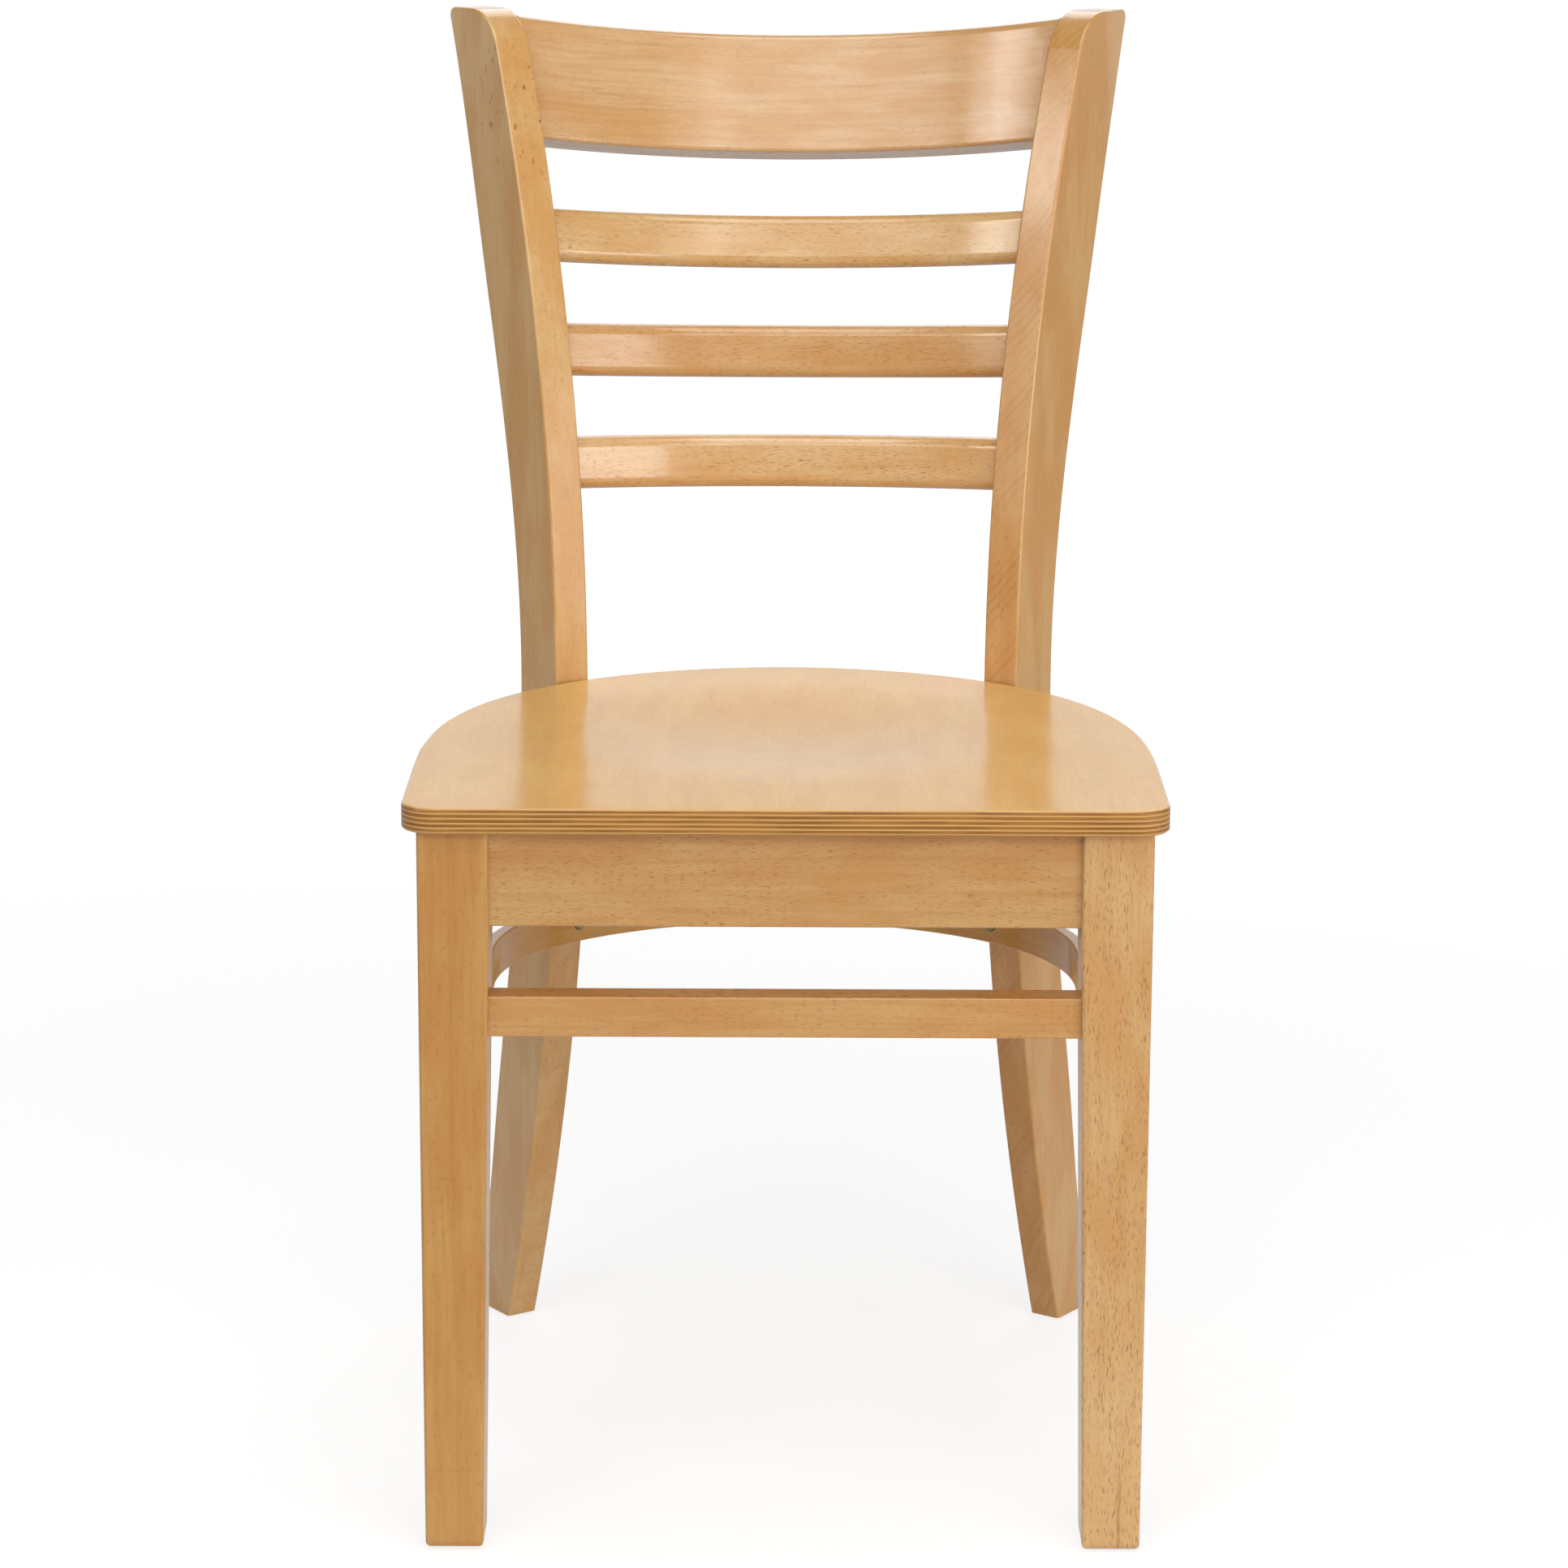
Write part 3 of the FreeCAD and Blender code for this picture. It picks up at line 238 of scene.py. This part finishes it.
class Nodes:
    """A short way to write a node tree: each call adds a node and gives its output."""

    def __init__(self, owner):
        owner.use_nodes = True
        self.owner = owner
        self.tree = owner.node_tree
        self.tree.nodes.clear()

    def add(self, kind, **settings):
        node = self.tree.nodes.new(kind)
        for key, value in settings.items():
            setattr(node, key, value)
        return node

    def put(self, socket, value):
        if isinstance(value, bpy.types.NodeSocket):
            self.tree.links.new(value, socket)
        elif value is not None:
            socket.default_value = value

    def math(self, operation, a, b=None, c=None, clamp=False):
        node = self.add("ShaderNodeMath", operation=operation, use_clamp=clamp)
        for socket, value in zip(node.inputs, (a, b, c)):
            self.put(socket, value)
        return node.outputs[0]

    def vector(self, operation, a, b=None):
        node = self.add("ShaderNodeVectorMath", operation=operation)
        self.put(node.inputs[0], a)
        self.put(node.inputs[1], b)
        return node.outputs["Value" if operation in ("DOT_PRODUCT", "LENGTH") else "Vector"]

    def combine(self, x, y, z):
        node = self.add("ShaderNodeCombineXYZ")
        for socket, value in zip(node.inputs, (x, y, z)):
            self.put(socket, value)
        return node.outputs[0]

    def separate(self, vector):
        node = self.add("ShaderNodeSeparateXYZ")
        self.put(node.inputs[0], vector)
        return node.outputs

    def noise(self, vector, detail=2.0, roughness=0.5, scale=1.0):
        node = self.add("ShaderNodeTexNoise")
        self.put(node.inputs["Vector"], vector)
        self.put(node.inputs["Scale"], scale)
        self.put(node.inputs["Detail"], detail)
        self.put(node.inputs["Roughness"], roughness)
        return node.outputs["Fac"]

    def waver(self, noise, width, base):
        """The base moved either way by up to half the width, as the noise says."""
        return self.math("MULTIPLY_ADD", self.math("SUBTRACT", noise, 0.5), width, base)

    def step(self, value, low, high):
        """0 below low and 1 above high, smooth between; low above high turns it round."""
        node = self.add("ShaderNodeMapRange", interpolation_type="SMOOTHSTEP", clamp=True)
        turned = low > high
        limits = (high, low, 1.0, 0.0) if turned else (low, high, 0.0, 1.0)
        self.put(node.inputs["Value"], value)
        for key, limit in zip(("From Min", "From Max", "To Min", "To Max"), limits):
            self.put(node.inputs[key], limit)
        return node.outputs["Result"]

    def between(self, value, limits, first, last):
        """From first to last as the value crosses the limits."""
        return self.math("MULTIPLY_ADD", self.step(value, *limits), last - first, first)

    def ramp(self, value, stops):
        node = self.add("ShaderNodeValToRGB")
        elements = node.color_ramp.elements
        while len(elements) < len(stops):
            elements.new(0.5)
        for element, (place, level) in zip(elements, stops):
            element.position = place
            element.color = (level, level, level, 1.0)
        self.put(node.inputs[0], value)
        return node.outputs["Color"]

    def mix(self, factor, a, b):
        node = self.add("ShaderNodeMix", data_type="RGBA")
        self.put(node.inputs["Factor"], factor)
        self.put(node.inputs["A"], a)
        self.put(node.inputs["B"], b)
        return node.outputs["Result"]

    def bump(self, height, relief, normal=None):
        """Relief is the height's distance in metres and the strength that it shows with."""
        node = self.add("ShaderNodeBump")
        self.put(node.inputs["Height"], height)
        self.put(node.inputs["Distance"], relief[0])
        self.put(node.inputs["Strength"], relief[1])
        self.put(node.inputs["Normal"], normal)
        return node.outputs[0]

    def surface(self, **inputs):
        shader = self.add("ShaderNodeBsdfPrincipled")
        for key, value in inputs.items():
            self.put(shader.inputs[key.replace("_", " ")], value)
        output = self.add("ShaderNodeOutputMaterial")
        self.tree.links.new(shader.outputs[0], output.inputs["Surface"])
        return self.owner

    def place(self):
        return self.add("ShaderNodeTexCoord").outputs["Object"]

    def normal(self):
        return self.add("ShaderNodeNewGeometry").outputs["Normal"]


def material_nodes(name):
    return Nodes(bpy.data.materials.new(name))


# Grain directions: each gives (along, radial, tangential) in millimetres from a place in metres

def straight_grain(along, radial):
    tangential = along.cross(radial)

    def coordinates(n, place):
        return [n.vector("DOT_PRODUCT", place, tuple(axis * MILLIMETRES))
                for axis in (along, radial, tangential)]
    return coordinates


def bowed_grain(centre_y, lean):
    """Grain that follows a bow about an upright axis at X 0; lean tips the rung backwards."""
    def coordinates(n, place):
        x, y, z = n.separate(place)
        y = n.math("SUBTRACT", y, centre_y)
        angle = n.math("ARCTAN2", x, y)
        radius = n.vector("LENGTH", n.combine(x, y, 0.0))
        upright = n.math("MULTIPLY_ADD", y, lean, z)
        return [n.math("MULTIPLY", angle, LADDER_RADIUS * MILLIMETRES),
                n.math("MULTIPLY", radius, MILLIMETRES),
                n.math("MULTIPLY", upright, MILLIMETRES)]
    return coordinates


def strip_grain(bend_start, radius):
    """Grain of a bent strip: straight along both arms, then round the back."""
    def coordinates(n, place):
        x, y, z = n.separate(place)
        y = n.math("SUBTRACT", y, bend_start)
        beyond = n.math("MAXIMUM", y, 0.0)
        angle = n.math("ARCTAN2", beyond, n.math("ABSOLUTE", x))
        along = n.math("MULTIPLY_ADD", angle, radius, n.math("MINIMUM", y, 0.0))
        across = n.vector("LENGTH", n.combine(x, beyond, 0.0))
        along = n.math("MULTIPLY", along, n.math("SIGN", x))
        return [n.math("MULTIPLY", distance, MILLIMETRES) for distance in (along, across, z)]
    return coordinates


def rung_grain(node):
    """Bowed grain about the axis that lies behind the rung's front by the ladder's radius."""
    low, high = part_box(node)
    centre_y = low.y - math.sqrt(LADDER_RADIUS ** 2 - high.x ** 2)
    return bowed_grain(centre_y, LADDER_LEAN[node])


def left_plank_grain(turn):
    """Upright grain of the left rear leg; turn is the ring planes' angle from the plank's width."""
    radial = PLANK_WIDTH * math.cos(turn) + PLANK_THICKNESS * math.sin(turn)
    return straight_grain(Z, Vector((-radial.x, radial.y, radial.z)))


def brace_grain():
    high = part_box("u_brace")[1]
    return strip_grain(high.y - high.x, high.x)


def apron_grain():
    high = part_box("seat_apron")[1]
    return strip_grain(high.y - high.x * APRON_BEND, high.x)


# Beech

def scaled(n, grain, sizes, seed):
    """The grain place divided by a feature's sizes, and moved by the seed."""
    parts = [n.math("DIVIDE", distance, size) for distance, size in zip(grain, sizes)]
    return n.vector("ADD", n.combine(*parts), tuple(seed * shift for shift in FIGURE_SHIFT))


def beech_figure(n, grain, seed, ring, pith, wander, slope=0.0):
    """How dark the wood is at each place, from 0 to 1: rings, streaks and clouds."""
    sway = n.noise(scaled(n, grain, SWAY_SIZE, seed), detail=2.0)
    ripple = n.noise(scaled(n, grain, RIPPLE_SIZE, seed + 5), detail=1.0)
    across = n.waver(sway, wander, grain[1])
    across = n.waver(ripple, RIPPLE_DRIFT, across)
    across = n.math("MULTIPLY_ADD", grain[0], slope, across)
    reach = n.math("ADD", across, pith)
    distance = n.vector("LENGTH", n.combine(reach, grain[2], 0.0))
    turn = n.math("DIVIDE", distance, ring)
    rings = n.ramp(n.math("FRACT", turn), RING_STOPS)
    year = n.noise(n.combine(n.math("FLOOR", turn), seed, 0.0), detail=0.0, scale=YEAR_SCALE)
    rings = n.math("MULTIPLY", rings, n.step(year, *YEAR_LIMITS))
    waved = [grain[0]] + [n.waver(ripple, RIPPLE_DRIFT, distance) for distance in grain[1:]]
    streaks = n.noise(scaled(n, waved, STREAK_SIZE, seed + 1), detail=3.0, roughness=0.6)
    clouds = n.noise(scaled(n, waved, CLOUD_SIZE, seed + 2), detail=3.0)
    return rings, streaks, clouds


def beech_flecks(n, grain, seed):
    """Short dark dashes along the grain: the ends of the rays, about 4 mm by half a millimetre."""
    rays = n.noise(scaled(n, grain, RAY_SIZE, seed + 3), detail=1.0, roughness=0.4)
    crowd = n.noise(scaled(n, grain, CROWD_SIZE, seed + 4), detail=1.0)
    return n.math("MULTIPLY", n.step(rays, *RAY_LIMITS), n.step(crowd, *CROWD_LIMITS))


def on_facing(n, level, axis):
    """The level on the surfaces that face along the axis, and nothing on the others."""
    facing = n.math("ABSOLUTE", n.vector("DOT_PRODUCT", n.normal(), tuple(axis)))
    return n.math("MULTIPLY", level, n.step(facing, *FACING_LIMITS))


def paint_floor_light(n, place, colour, tone, share):
    """The colour with painted floor light: the board's paler tone mixed in towards the floor."""
    low = n.step(n.separate(place)[2], *PAINTED_FLOOR_LIGHT_LIMITS)
    return n.mix(n.math("MULTIPLY", low, share), colour, tinted(tone, PAINTED_FLOOR_LIGHT_TINT))


def mineral_vein(n, place, colour):
    """The colour with a thin red-brown streak that rises from the foot."""
    x, _, z = n.separate(place)
    wobble = n.noise(n.combine(0.0, 0.0, z), detail=2.0, scale=VEIN_WOBBLE_SCALE)
    aside = n.math("ABSOLUTE", n.math("SUBTRACT", x, n.waver(wobble, VEIN_WOBBLE, VEIN_X)))
    vein = n.math("MULTIPLY", n.step(aside, VEIN_HALF_WIDTH, 0.0),
                  n.step(z, VEIN_TOP, VEIN_TOP * VEIN_FULL))
    return n.mix(n.math("MULTIPLY", vein, VEIN_SHARE), colour, linear(*VEIN_COLOUR))


def mineral_specks(n, place, colour):
    """The colour with a loose group of small brown specks near the left rear leg's top."""
    low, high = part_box("rear_leg_left")
    centre = (low.x + SPECKS_INSET, SPECKS_Y, high.z - SPECKS_INSET)
    away = n.vector("LENGTH", n.vector("SUBTRACT", place, centre))
    near = n.step(away, SPECKS_REACH, SPECKS_REACH * SPECKS_CORE)
    spots = n.noise(n.vector("MULTIPLY", place, SPECKS_SCALE), detail=1.0)
    specks = n.math("MULTIPLY", n.step(spots, *SPOT_LIMITS), near)
    return n.mix(n.math("MULTIPLY", specks, SPECKS_SHARE), colour, linear(*SPECKS_COLOUR))


def finish_lacquered(n, colour, place, dashes, streaks, seed, coat):
    """Satin lacquer over the wood: rays that just telegraph through, and a faint unevenness."""
    moved = n.vector("ADD", place, tuple(seed * shift for shift in LACQUER_SHIFT))
    uneven = n.noise(moved, detail=2.0, scale=UNEVEN_SCALE)
    grit = n.noise(moved, detail=2.0, scale=GRIT_SCALE)
    rough = n.math("MULTIPLY_ADD", uneven, ROUGHNESS_UNEVEN, ROUGHNESS)
    rough = n.math("MULTIPLY_ADD", dashes, ROUGHNESS_IN_RAYS, rough)
    height = n.math("MULTIPLY", streaks, STREAK_HEIGHT)
    height = n.math("MULTIPLY_ADD", dashes, RAY_HEIGHT, height)
    height = n.math("MULTIPLY_ADD", grit, GRIT_HEIGHT, height)
    skin = n.bump(uneven, COAT_WAVES, n.bump(height, COAT_RELIEF))
    return n.surface(Base_Color=colour, Roughness=rough, Normal=n.bump(height, WOOD_RELIEF),
                     Specular_IOR_Level=WOOD_SPECULAR, Coat_Weight=coat,
                     Coat_Roughness=COAT_ROUGHNESS, Coat_IOR=COAT_IOR, Coat_Normal=skin)


def beech(name, grain_of, tone, seed, ring=3.4, pith=60.0, wander=14.0, lines=0.42, contrast=1.0,
          slope=0.0, lines_face=None, flecks=1.0, floor_light_painted=0.0, marks=None):
    """One board. Ring, pith and wander are the rings' width, their distance from the tree's middle
    and how far they sway; lines is their share, and lines_face the only faces that show them.
    """
    n = material_nodes(name)
    place = n.place()
    grain = grain_of(n, place)
    rings, streaks, clouds = beech_figure(n, grain, seed, ring, pith, wander, slope)
    if lines_face:
        rings = on_facing(n, rings, lines_face)
    figure = n.math("MULTIPLY", rings, lines)
    streaky = n.step(streaks, *STREAK_LIMITS)
    figure = n.math("MULTIPLY_ADD", streaky, STREAK_SHARE * contrast, figure, clamp=True)
    colour = n.mix(n.step(clouds, *CLOUD_LIMITS), linear(*tone), tinted(tone, WARM_TINT))
    colour = n.mix(figure, colour, tinted(tone, DEEP_TINT))
    # Painted light: the lower ends paler, in place of light bounced up from the floor
    if floor_light_painted:
        colour = paint_floor_light(n, place, colour, tone, floor_light_painted)
    dashes = beech_flecks(n, grain, seed)
    colour = n.mix(n.math("MULTIPLY", dashes, RAY_SHARE * flecks), colour, tinted(tone, RAY_TINT))
    if marks:
        colour = marks(n, place, colour)
    return finish_lacquered(n, colour, place, dashes, streaks, seed, COAT_WEIGHT)


# Moulded plywood seat

def ply_edge(n, place):
    """The seat's edge: brown plies with thin pale ones between them, and a pale top band that is the
    face veneer with a painted highlight along the top arris.
    """
    z = n.separate(place)[2]
    wobble = n.noise(n.vector("MULTIPLY", place, PLY_WOBBLE_SCALE), detail=2.0)
    depth = n.math("MULTIPLY", n.math("SUBTRACT", SEAT_TOP, z), MILLIMETRES)
    depth = n.waver(wobble, PLY_WOBBLE, depth)
    # Pale top band: the face veneer, partly a painted highlight along the top arris
    pale = n.step(depth, *PLY_FACE_AND_ARRIS_HIGHLIGHT_LIMITS)
    for line in PLY_LINES:
        away = n.math("ABSOLUTE", n.math("SUBTRACT", depth, line))
        pale = n.math("MAXIMUM", pale, n.step(away, *PLY_LINE_LIMITS))
    fibre = n.noise(n.vector("MULTIPLY", place, PLY_FIBRE_SCALE), detail=3.0)
    patch = n.noise(n.vector("MULTIPLY", place, PLY_PATCH_SCALE), detail=1.0)
    dark = n.mix(n.step(fibre, *PLY_FIBRE_LIMITS), linear(*PLY_DARK), linear(*PLY_BROWN))
    dark = n.mix(n.step(patch, *PLY_PATCH_LIMITS), dark, linear(*PLY_WARM))
    return n.mix(pale, dark, linear(*PLY_PALE))


def seat_plywood():
    n = material_nodes("seat_plywood")
    place = n.place()
    grain = straight_grain(Y, Z)(n, place)
    sway = n.noise(scaled(n, grain, SEAT_SWAY_SIZE, SEAT_SEED), detail=1.5)
    grain[1] = n.waver(sway, SEAT_SWAY_WIDTH, 0.0)
    rings, streaks, clouds = beech_figure(n, grain, SEAT_SEED, SEAT_RING, SEAT_PITH, SEAT_WANDER)
    figure = n.math("MULTIPLY", rings, SEAT_RING_SHARE)
    streaky = n.step(streaks, *SEAT_STREAK_LIMITS)
    figure = n.math("MULTIPLY_ADD", streaky, SEAT_STREAK_SHARE, figure, clamp=True)
    colour = n.mix(n.step(clouds, *SEAT_CLOUD_LIMITS), linear(*SEAT_LIGHT), linear(*SEAT_WARM))
    colour = n.mix(figure, colour, linear(*SEAT_DEEP))
    dashes = beech_flecks(n, grain, SEAT_SEED)
    colour = n.mix(n.math("MULTIPLY", dashes, SEAT_RAY_SHARE), colour, linear(*SEAT_RAYS))
    upward = n.math("ABSOLUTE", n.separate(n.normal())[2])
    colour = n.mix(n.step(upward, *EDGE_LIMITS), colour, ply_edge(n, place))
    return finish_lacquered(n, colour, place, dashes, streaks, SEAT_SEED, SEAT_COAT)


# Steel and plastic

def zinc_steel():
    n = material_nodes("zinc_steel")
    place = n.place()
    cloud = n.noise(place, detail=3.0, scale=STEEL_CLOUD_SCALE)
    spangle = n.noise(place, detail=1.0, scale=STEEL_SPANGLE_SCALE)
    colour = n.mix(n.step(cloud, *SURFACE_LIMITS), linear(*STEEL_DARK), linear(*STEEL_LIGHT))
    rough = n.math("MULTIPLY_ADD", cloud, ROUGHNESS_SWING, STEEL_ROUGHNESS)
    return n.surface(Base_Color=colour, Metallic=1.0, Roughness=rough,
                     Normal=n.bump(spangle, STEEL_RELIEF))


def glide_plastic():
    n = material_nodes("glide_plastic")
    grit = n.noise(n.place(), detail=2.0, scale=PLASTIC_GRIT_SCALE)
    colour = n.mix(n.step(grit, *SURFACE_LIMITS), linear(*PLASTIC_DARK), linear(*PLASTIC_LIGHT))
    rough = n.math("MULTIPLY_ADD", grit, ROUGHNESS_SWING, PLASTIC_ROUGHNESS)
    return n.surface(Base_Color=colour, Roughness=rough, Normal=n.bump(grit, PLASTIC_RELIEF))


# Which node gets which board: each has its own tone, seed and figure

def ladder_boards():
    return {
        "crest_rail": beech("crest_beech", rung_grain("crest_rail"), (216, 177, 130), seed=1.0,
                            ring=9.0, pith=35.0, wander=26.0, lines=0.3, contrast=0.9, flecks=0.5),
        "slat_upper": beech("slat_upper_beech", rung_grain("slat_upper"), (217, 181, 128),
                            seed=2.0, lines=0.2, contrast=0.7, flecks=1.1),
        "slat_middle": beech("slat_middle_beech", rung_grain("slat_middle"), (208, 165, 112),
                             seed=3.0, lines=0.2, contrast=0.7, flecks=1.1),
        "slat_lower": beech("slat_lower_beech", rung_grain("slat_lower"), (219, 182, 132),
                            seed=4.0, lines=0.2, contrast=0.7, flecks=1.1),
    }


def leg_boards():
    return {
        "rear_leg_left": beech("left_post_beech", left_plank_grain(LEFT_RING_TURN),
                               (216, 175, 118), seed=5.0, ring=5.0, wander=18.0, lines=0.2,
                               contrast=0.6, flecks=0.3, marks=mineral_specks),
        "rear_leg_right": beech("right_post_beech", straight_grain(Z, PLANK_THICKNESS),
                                (212, 166, 106), seed=6.0, ring=6.0, pith=300.0, wander=10.0,
                                lines=0.60, contrast=0.5, slope=0.8, lines_face=PLANK_WIDTH,
                                flecks=0.3),
        # The front legs carry painted floor light on their lower ends
        "front_leg_left": beech("left_leg_beech", straight_grain(Z, X), (201, 151, 83), seed=7.0,
                                ring=6.0, flecks=0.3, floor_light_painted=0.2),
        "front_leg_right": beech("right_leg_beech", straight_grain(Z, Y), (211, 168, 112),
                                 seed=8.0, ring=9.0, lines=0.25, contrast=0.7, flecks=1.2,
                                 floor_light_painted=0.45, marks=mineral_vein),
    }


def frame_boards():
    return {
        "front_rail": beech("rail_beech", straight_grain(X, Y), (202, 157, 99), seed=9.0,
                            ring=9.0, lines=0.25, contrast=0.7, flecks=1.2),
        "front_stretcher": beech("stretcher_beech", straight_grain(X, Y), (206, 158, 98),
                                 seed=10.0, lines=0.3, contrast=0.7, flecks=0.9),
        "u_brace": beech("brace_beech", brace_grain(), (208, 162, 84), seed=12.0, lines=0.2,
                         flecks=0.3),
        "seat_apron": beech("apron_beech", apron_grain(), (204, 158, 100), seed=13.0),
        "corner_block_left": beech("block_beech", straight_grain(X, Z), (206, 162, 106), seed=14.0),
        "apron_dowels": beech("dowel_beech", straight_grain(Y, Z), (212, 170, 118), seed=15.0),
    }


def dress():
    boards = {**ladder_boards(), **leg_boards(), **frame_boards()}
    boards["corner_block_right"] = boards["corner_block_left"]
    boards["brace_dowels"] = boards["apron_dowels"]
    boards["seat_panel"] = seat_plywood()
    boards["foot_glides"] = glide_plastic()
    steel = zinc_steel()
    for node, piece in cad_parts.items():
        piece.data.materials.clear()
        piece.data.materials.append(boards.get(node, steel))


# Stage

def floor_white():
    """White to the camera and in reflections, and a plain pale floor to all other light."""
    n = material_nodes("floor_white")
    place = n.place()
    away = n.vector("LENGTH", place)
    rearward = n.separate(place)[1]
    path = n.add("ShaderNodeLightPath")
    pale = n.add("ShaderNodeBsdfDiffuse")
    n.put(pale.inputs["Color"], n.between(away, FLOOR_PALE_LIMITS, FLOOR_PALE, FLOOR_PALE_NEAR))
    shade = n.add("ShaderNodeBsdfDiffuse")
    shade.inputs["Color"].default_value = FLOOR_SHADE
    glow = n.add("ShaderNodeEmission")
    n.put(glow.inputs["Strength"], n.between(away, FLOOR_GLOW_LIMITS, FLOOR_GLOW, FLOOR_GLOW_FAR))
    seen = n.add("ShaderNodeAddShader")
    n.put(seen.inputs[0], shade.outputs[0])
    n.put(seen.inputs[1], glow.outputs[0])
    mirrored = n.between(rearward, FLOOR_MIRRORED_LIMITS, FLOOR_MIRRORED, FLOOR_MIRRORED_FAR)
    shown = n.math("MULTIPLY", path.outputs["Is Glossy Ray"], mirrored)
    shown = n.math("MAXIMUM", shown, path.outputs["Is Transmission Ray"])
    blend = n.add("ShaderNodeMixShader")
    n.put(blend.inputs[0], n.math("MAXIMUM", path.outputs["Is Camera Ray"], shown))
    n.put(blend.inputs[1], pale.outputs[0])
    n.put(blend.inputs[2], seen.outputs[0])
    output = n.add("ShaderNodeOutputMaterial")
    n.put(output.inputs["Surface"], blend.outputs[0])
    return n.owner


def make_floor():
    mesh = bpy.data.meshes.new("floor")
    corners = [(-FLOOR_HALF, -FLOOR_HALF, 0.0), (FLOOR_HALF, -FLOOR_HALF, 0.0),
               (FLOOR_HALF, FLOOR_HALF, 0.0), (-FLOOR_HALF, FLOOR_HALF, 0.0)]
    mesh.from_pydata(corners, [], [(0, 1, 2, 3)])
    mesh.materials.append(floor_white())
    floor = bpy.data.objects.new("floor", mesh)
    bpy.context.scene.collection.objects.link(floor)


def make_world():
    """White to the camera; reflections see a white wall behind the chair and a dimmer room."""
    world = bpy.data.worlds.new("studio")
    bpy.context.scene.world = world
    n = Nodes(world)
    path = n.add("ShaderNodeLightPath")
    _, rearward, upward = n.separate(n.add("ShaderNodeTexCoord").outputs["Generated"])
    room = n.math("MULTIPLY", n.between(rearward, WORLD_WALL_LIMITS, WORLD_SIDES, 1.0),
                  n.between(upward, WORLD_HIGH_LIMITS, 1.0, 1.0 - WORLD_HIGH_LOSS))
    mirrored = n.math("MAXIMUM", path.outputs["Is Glossy Ray"], path.outputs["Is Transmission Ray"])
    level = n.math("MULTIPLY", mirrored, room)
    level = n.math("MAXIMUM", level, path.outputs["Is Camera Ray"])
    level = n.math("MAXIMUM", level, WORLD_FILL)
    background = n.add("ShaderNodeBackground")
    n.put(background.inputs["Strength"], level)
    background.inputs["Color"].default_value = WHITE
    output = n.add("ShaderNodeOutputWorld")
    n.put(output.inputs["Surface"], background.outputs[0])


def make_lamp(name, azimuth, elevation, distance, width, height, level):
    azimuth, elevation = math.radians(azimuth), math.radians(elevation)
    out = Vector((math.sin(azimuth) * math.cos(elevation),
                  -math.cos(azimuth) * math.cos(elevation), math.sin(elevation)))
    lamp = bpy.data.lights.new(name, "AREA")
    lamp.shape = "ELLIPSE" if name in ROUND_LAMPS else "RECTANGLE"
    lamp.size = width
    lamp.size_y = height
    lamp.energy = level * math.pi * width * height
    holder = bpy.data.objects.new(name, lamp)
    holder.rotation_euler = (-out).to_track_quat("-Z", "Y").to_euler()
    holder.location = LAMP_AIM + out * distance
    holder.visible_camera = False
    holder.visible_diffuse = name not in LAMPS_FOR_GLINTS
    bpy.context.scene.collection.objects.link(holder)


def make_camera():
    data = bpy.data.cameras.new("photo_camera")
    data.lens = CAMERA_LENS
    data.sensor_width = CAMERA_SENSOR
    data.sensor_fit = "HORIZONTAL"
    camera = bpy.data.objects.new("photo_camera", data)
    turn = Matrix.Rotation(math.pi / 2 - CAMERA_PITCH, 4, "X") @ Matrix.Rotation(CAMERA_ROLL, 4, "Z")
    camera.matrix_world = Matrix.Translation(CAMERA_PLACE) @ turn
    bpy.context.scene.collection.objects.link(camera)
    bpy.context.scene.camera = camera


dress()
make_floor()
make_world()
for row in LAMPS:
    make_lamp(*row)
make_camera()
bpy.context.scene.view_settings.view_transform = "Standard"
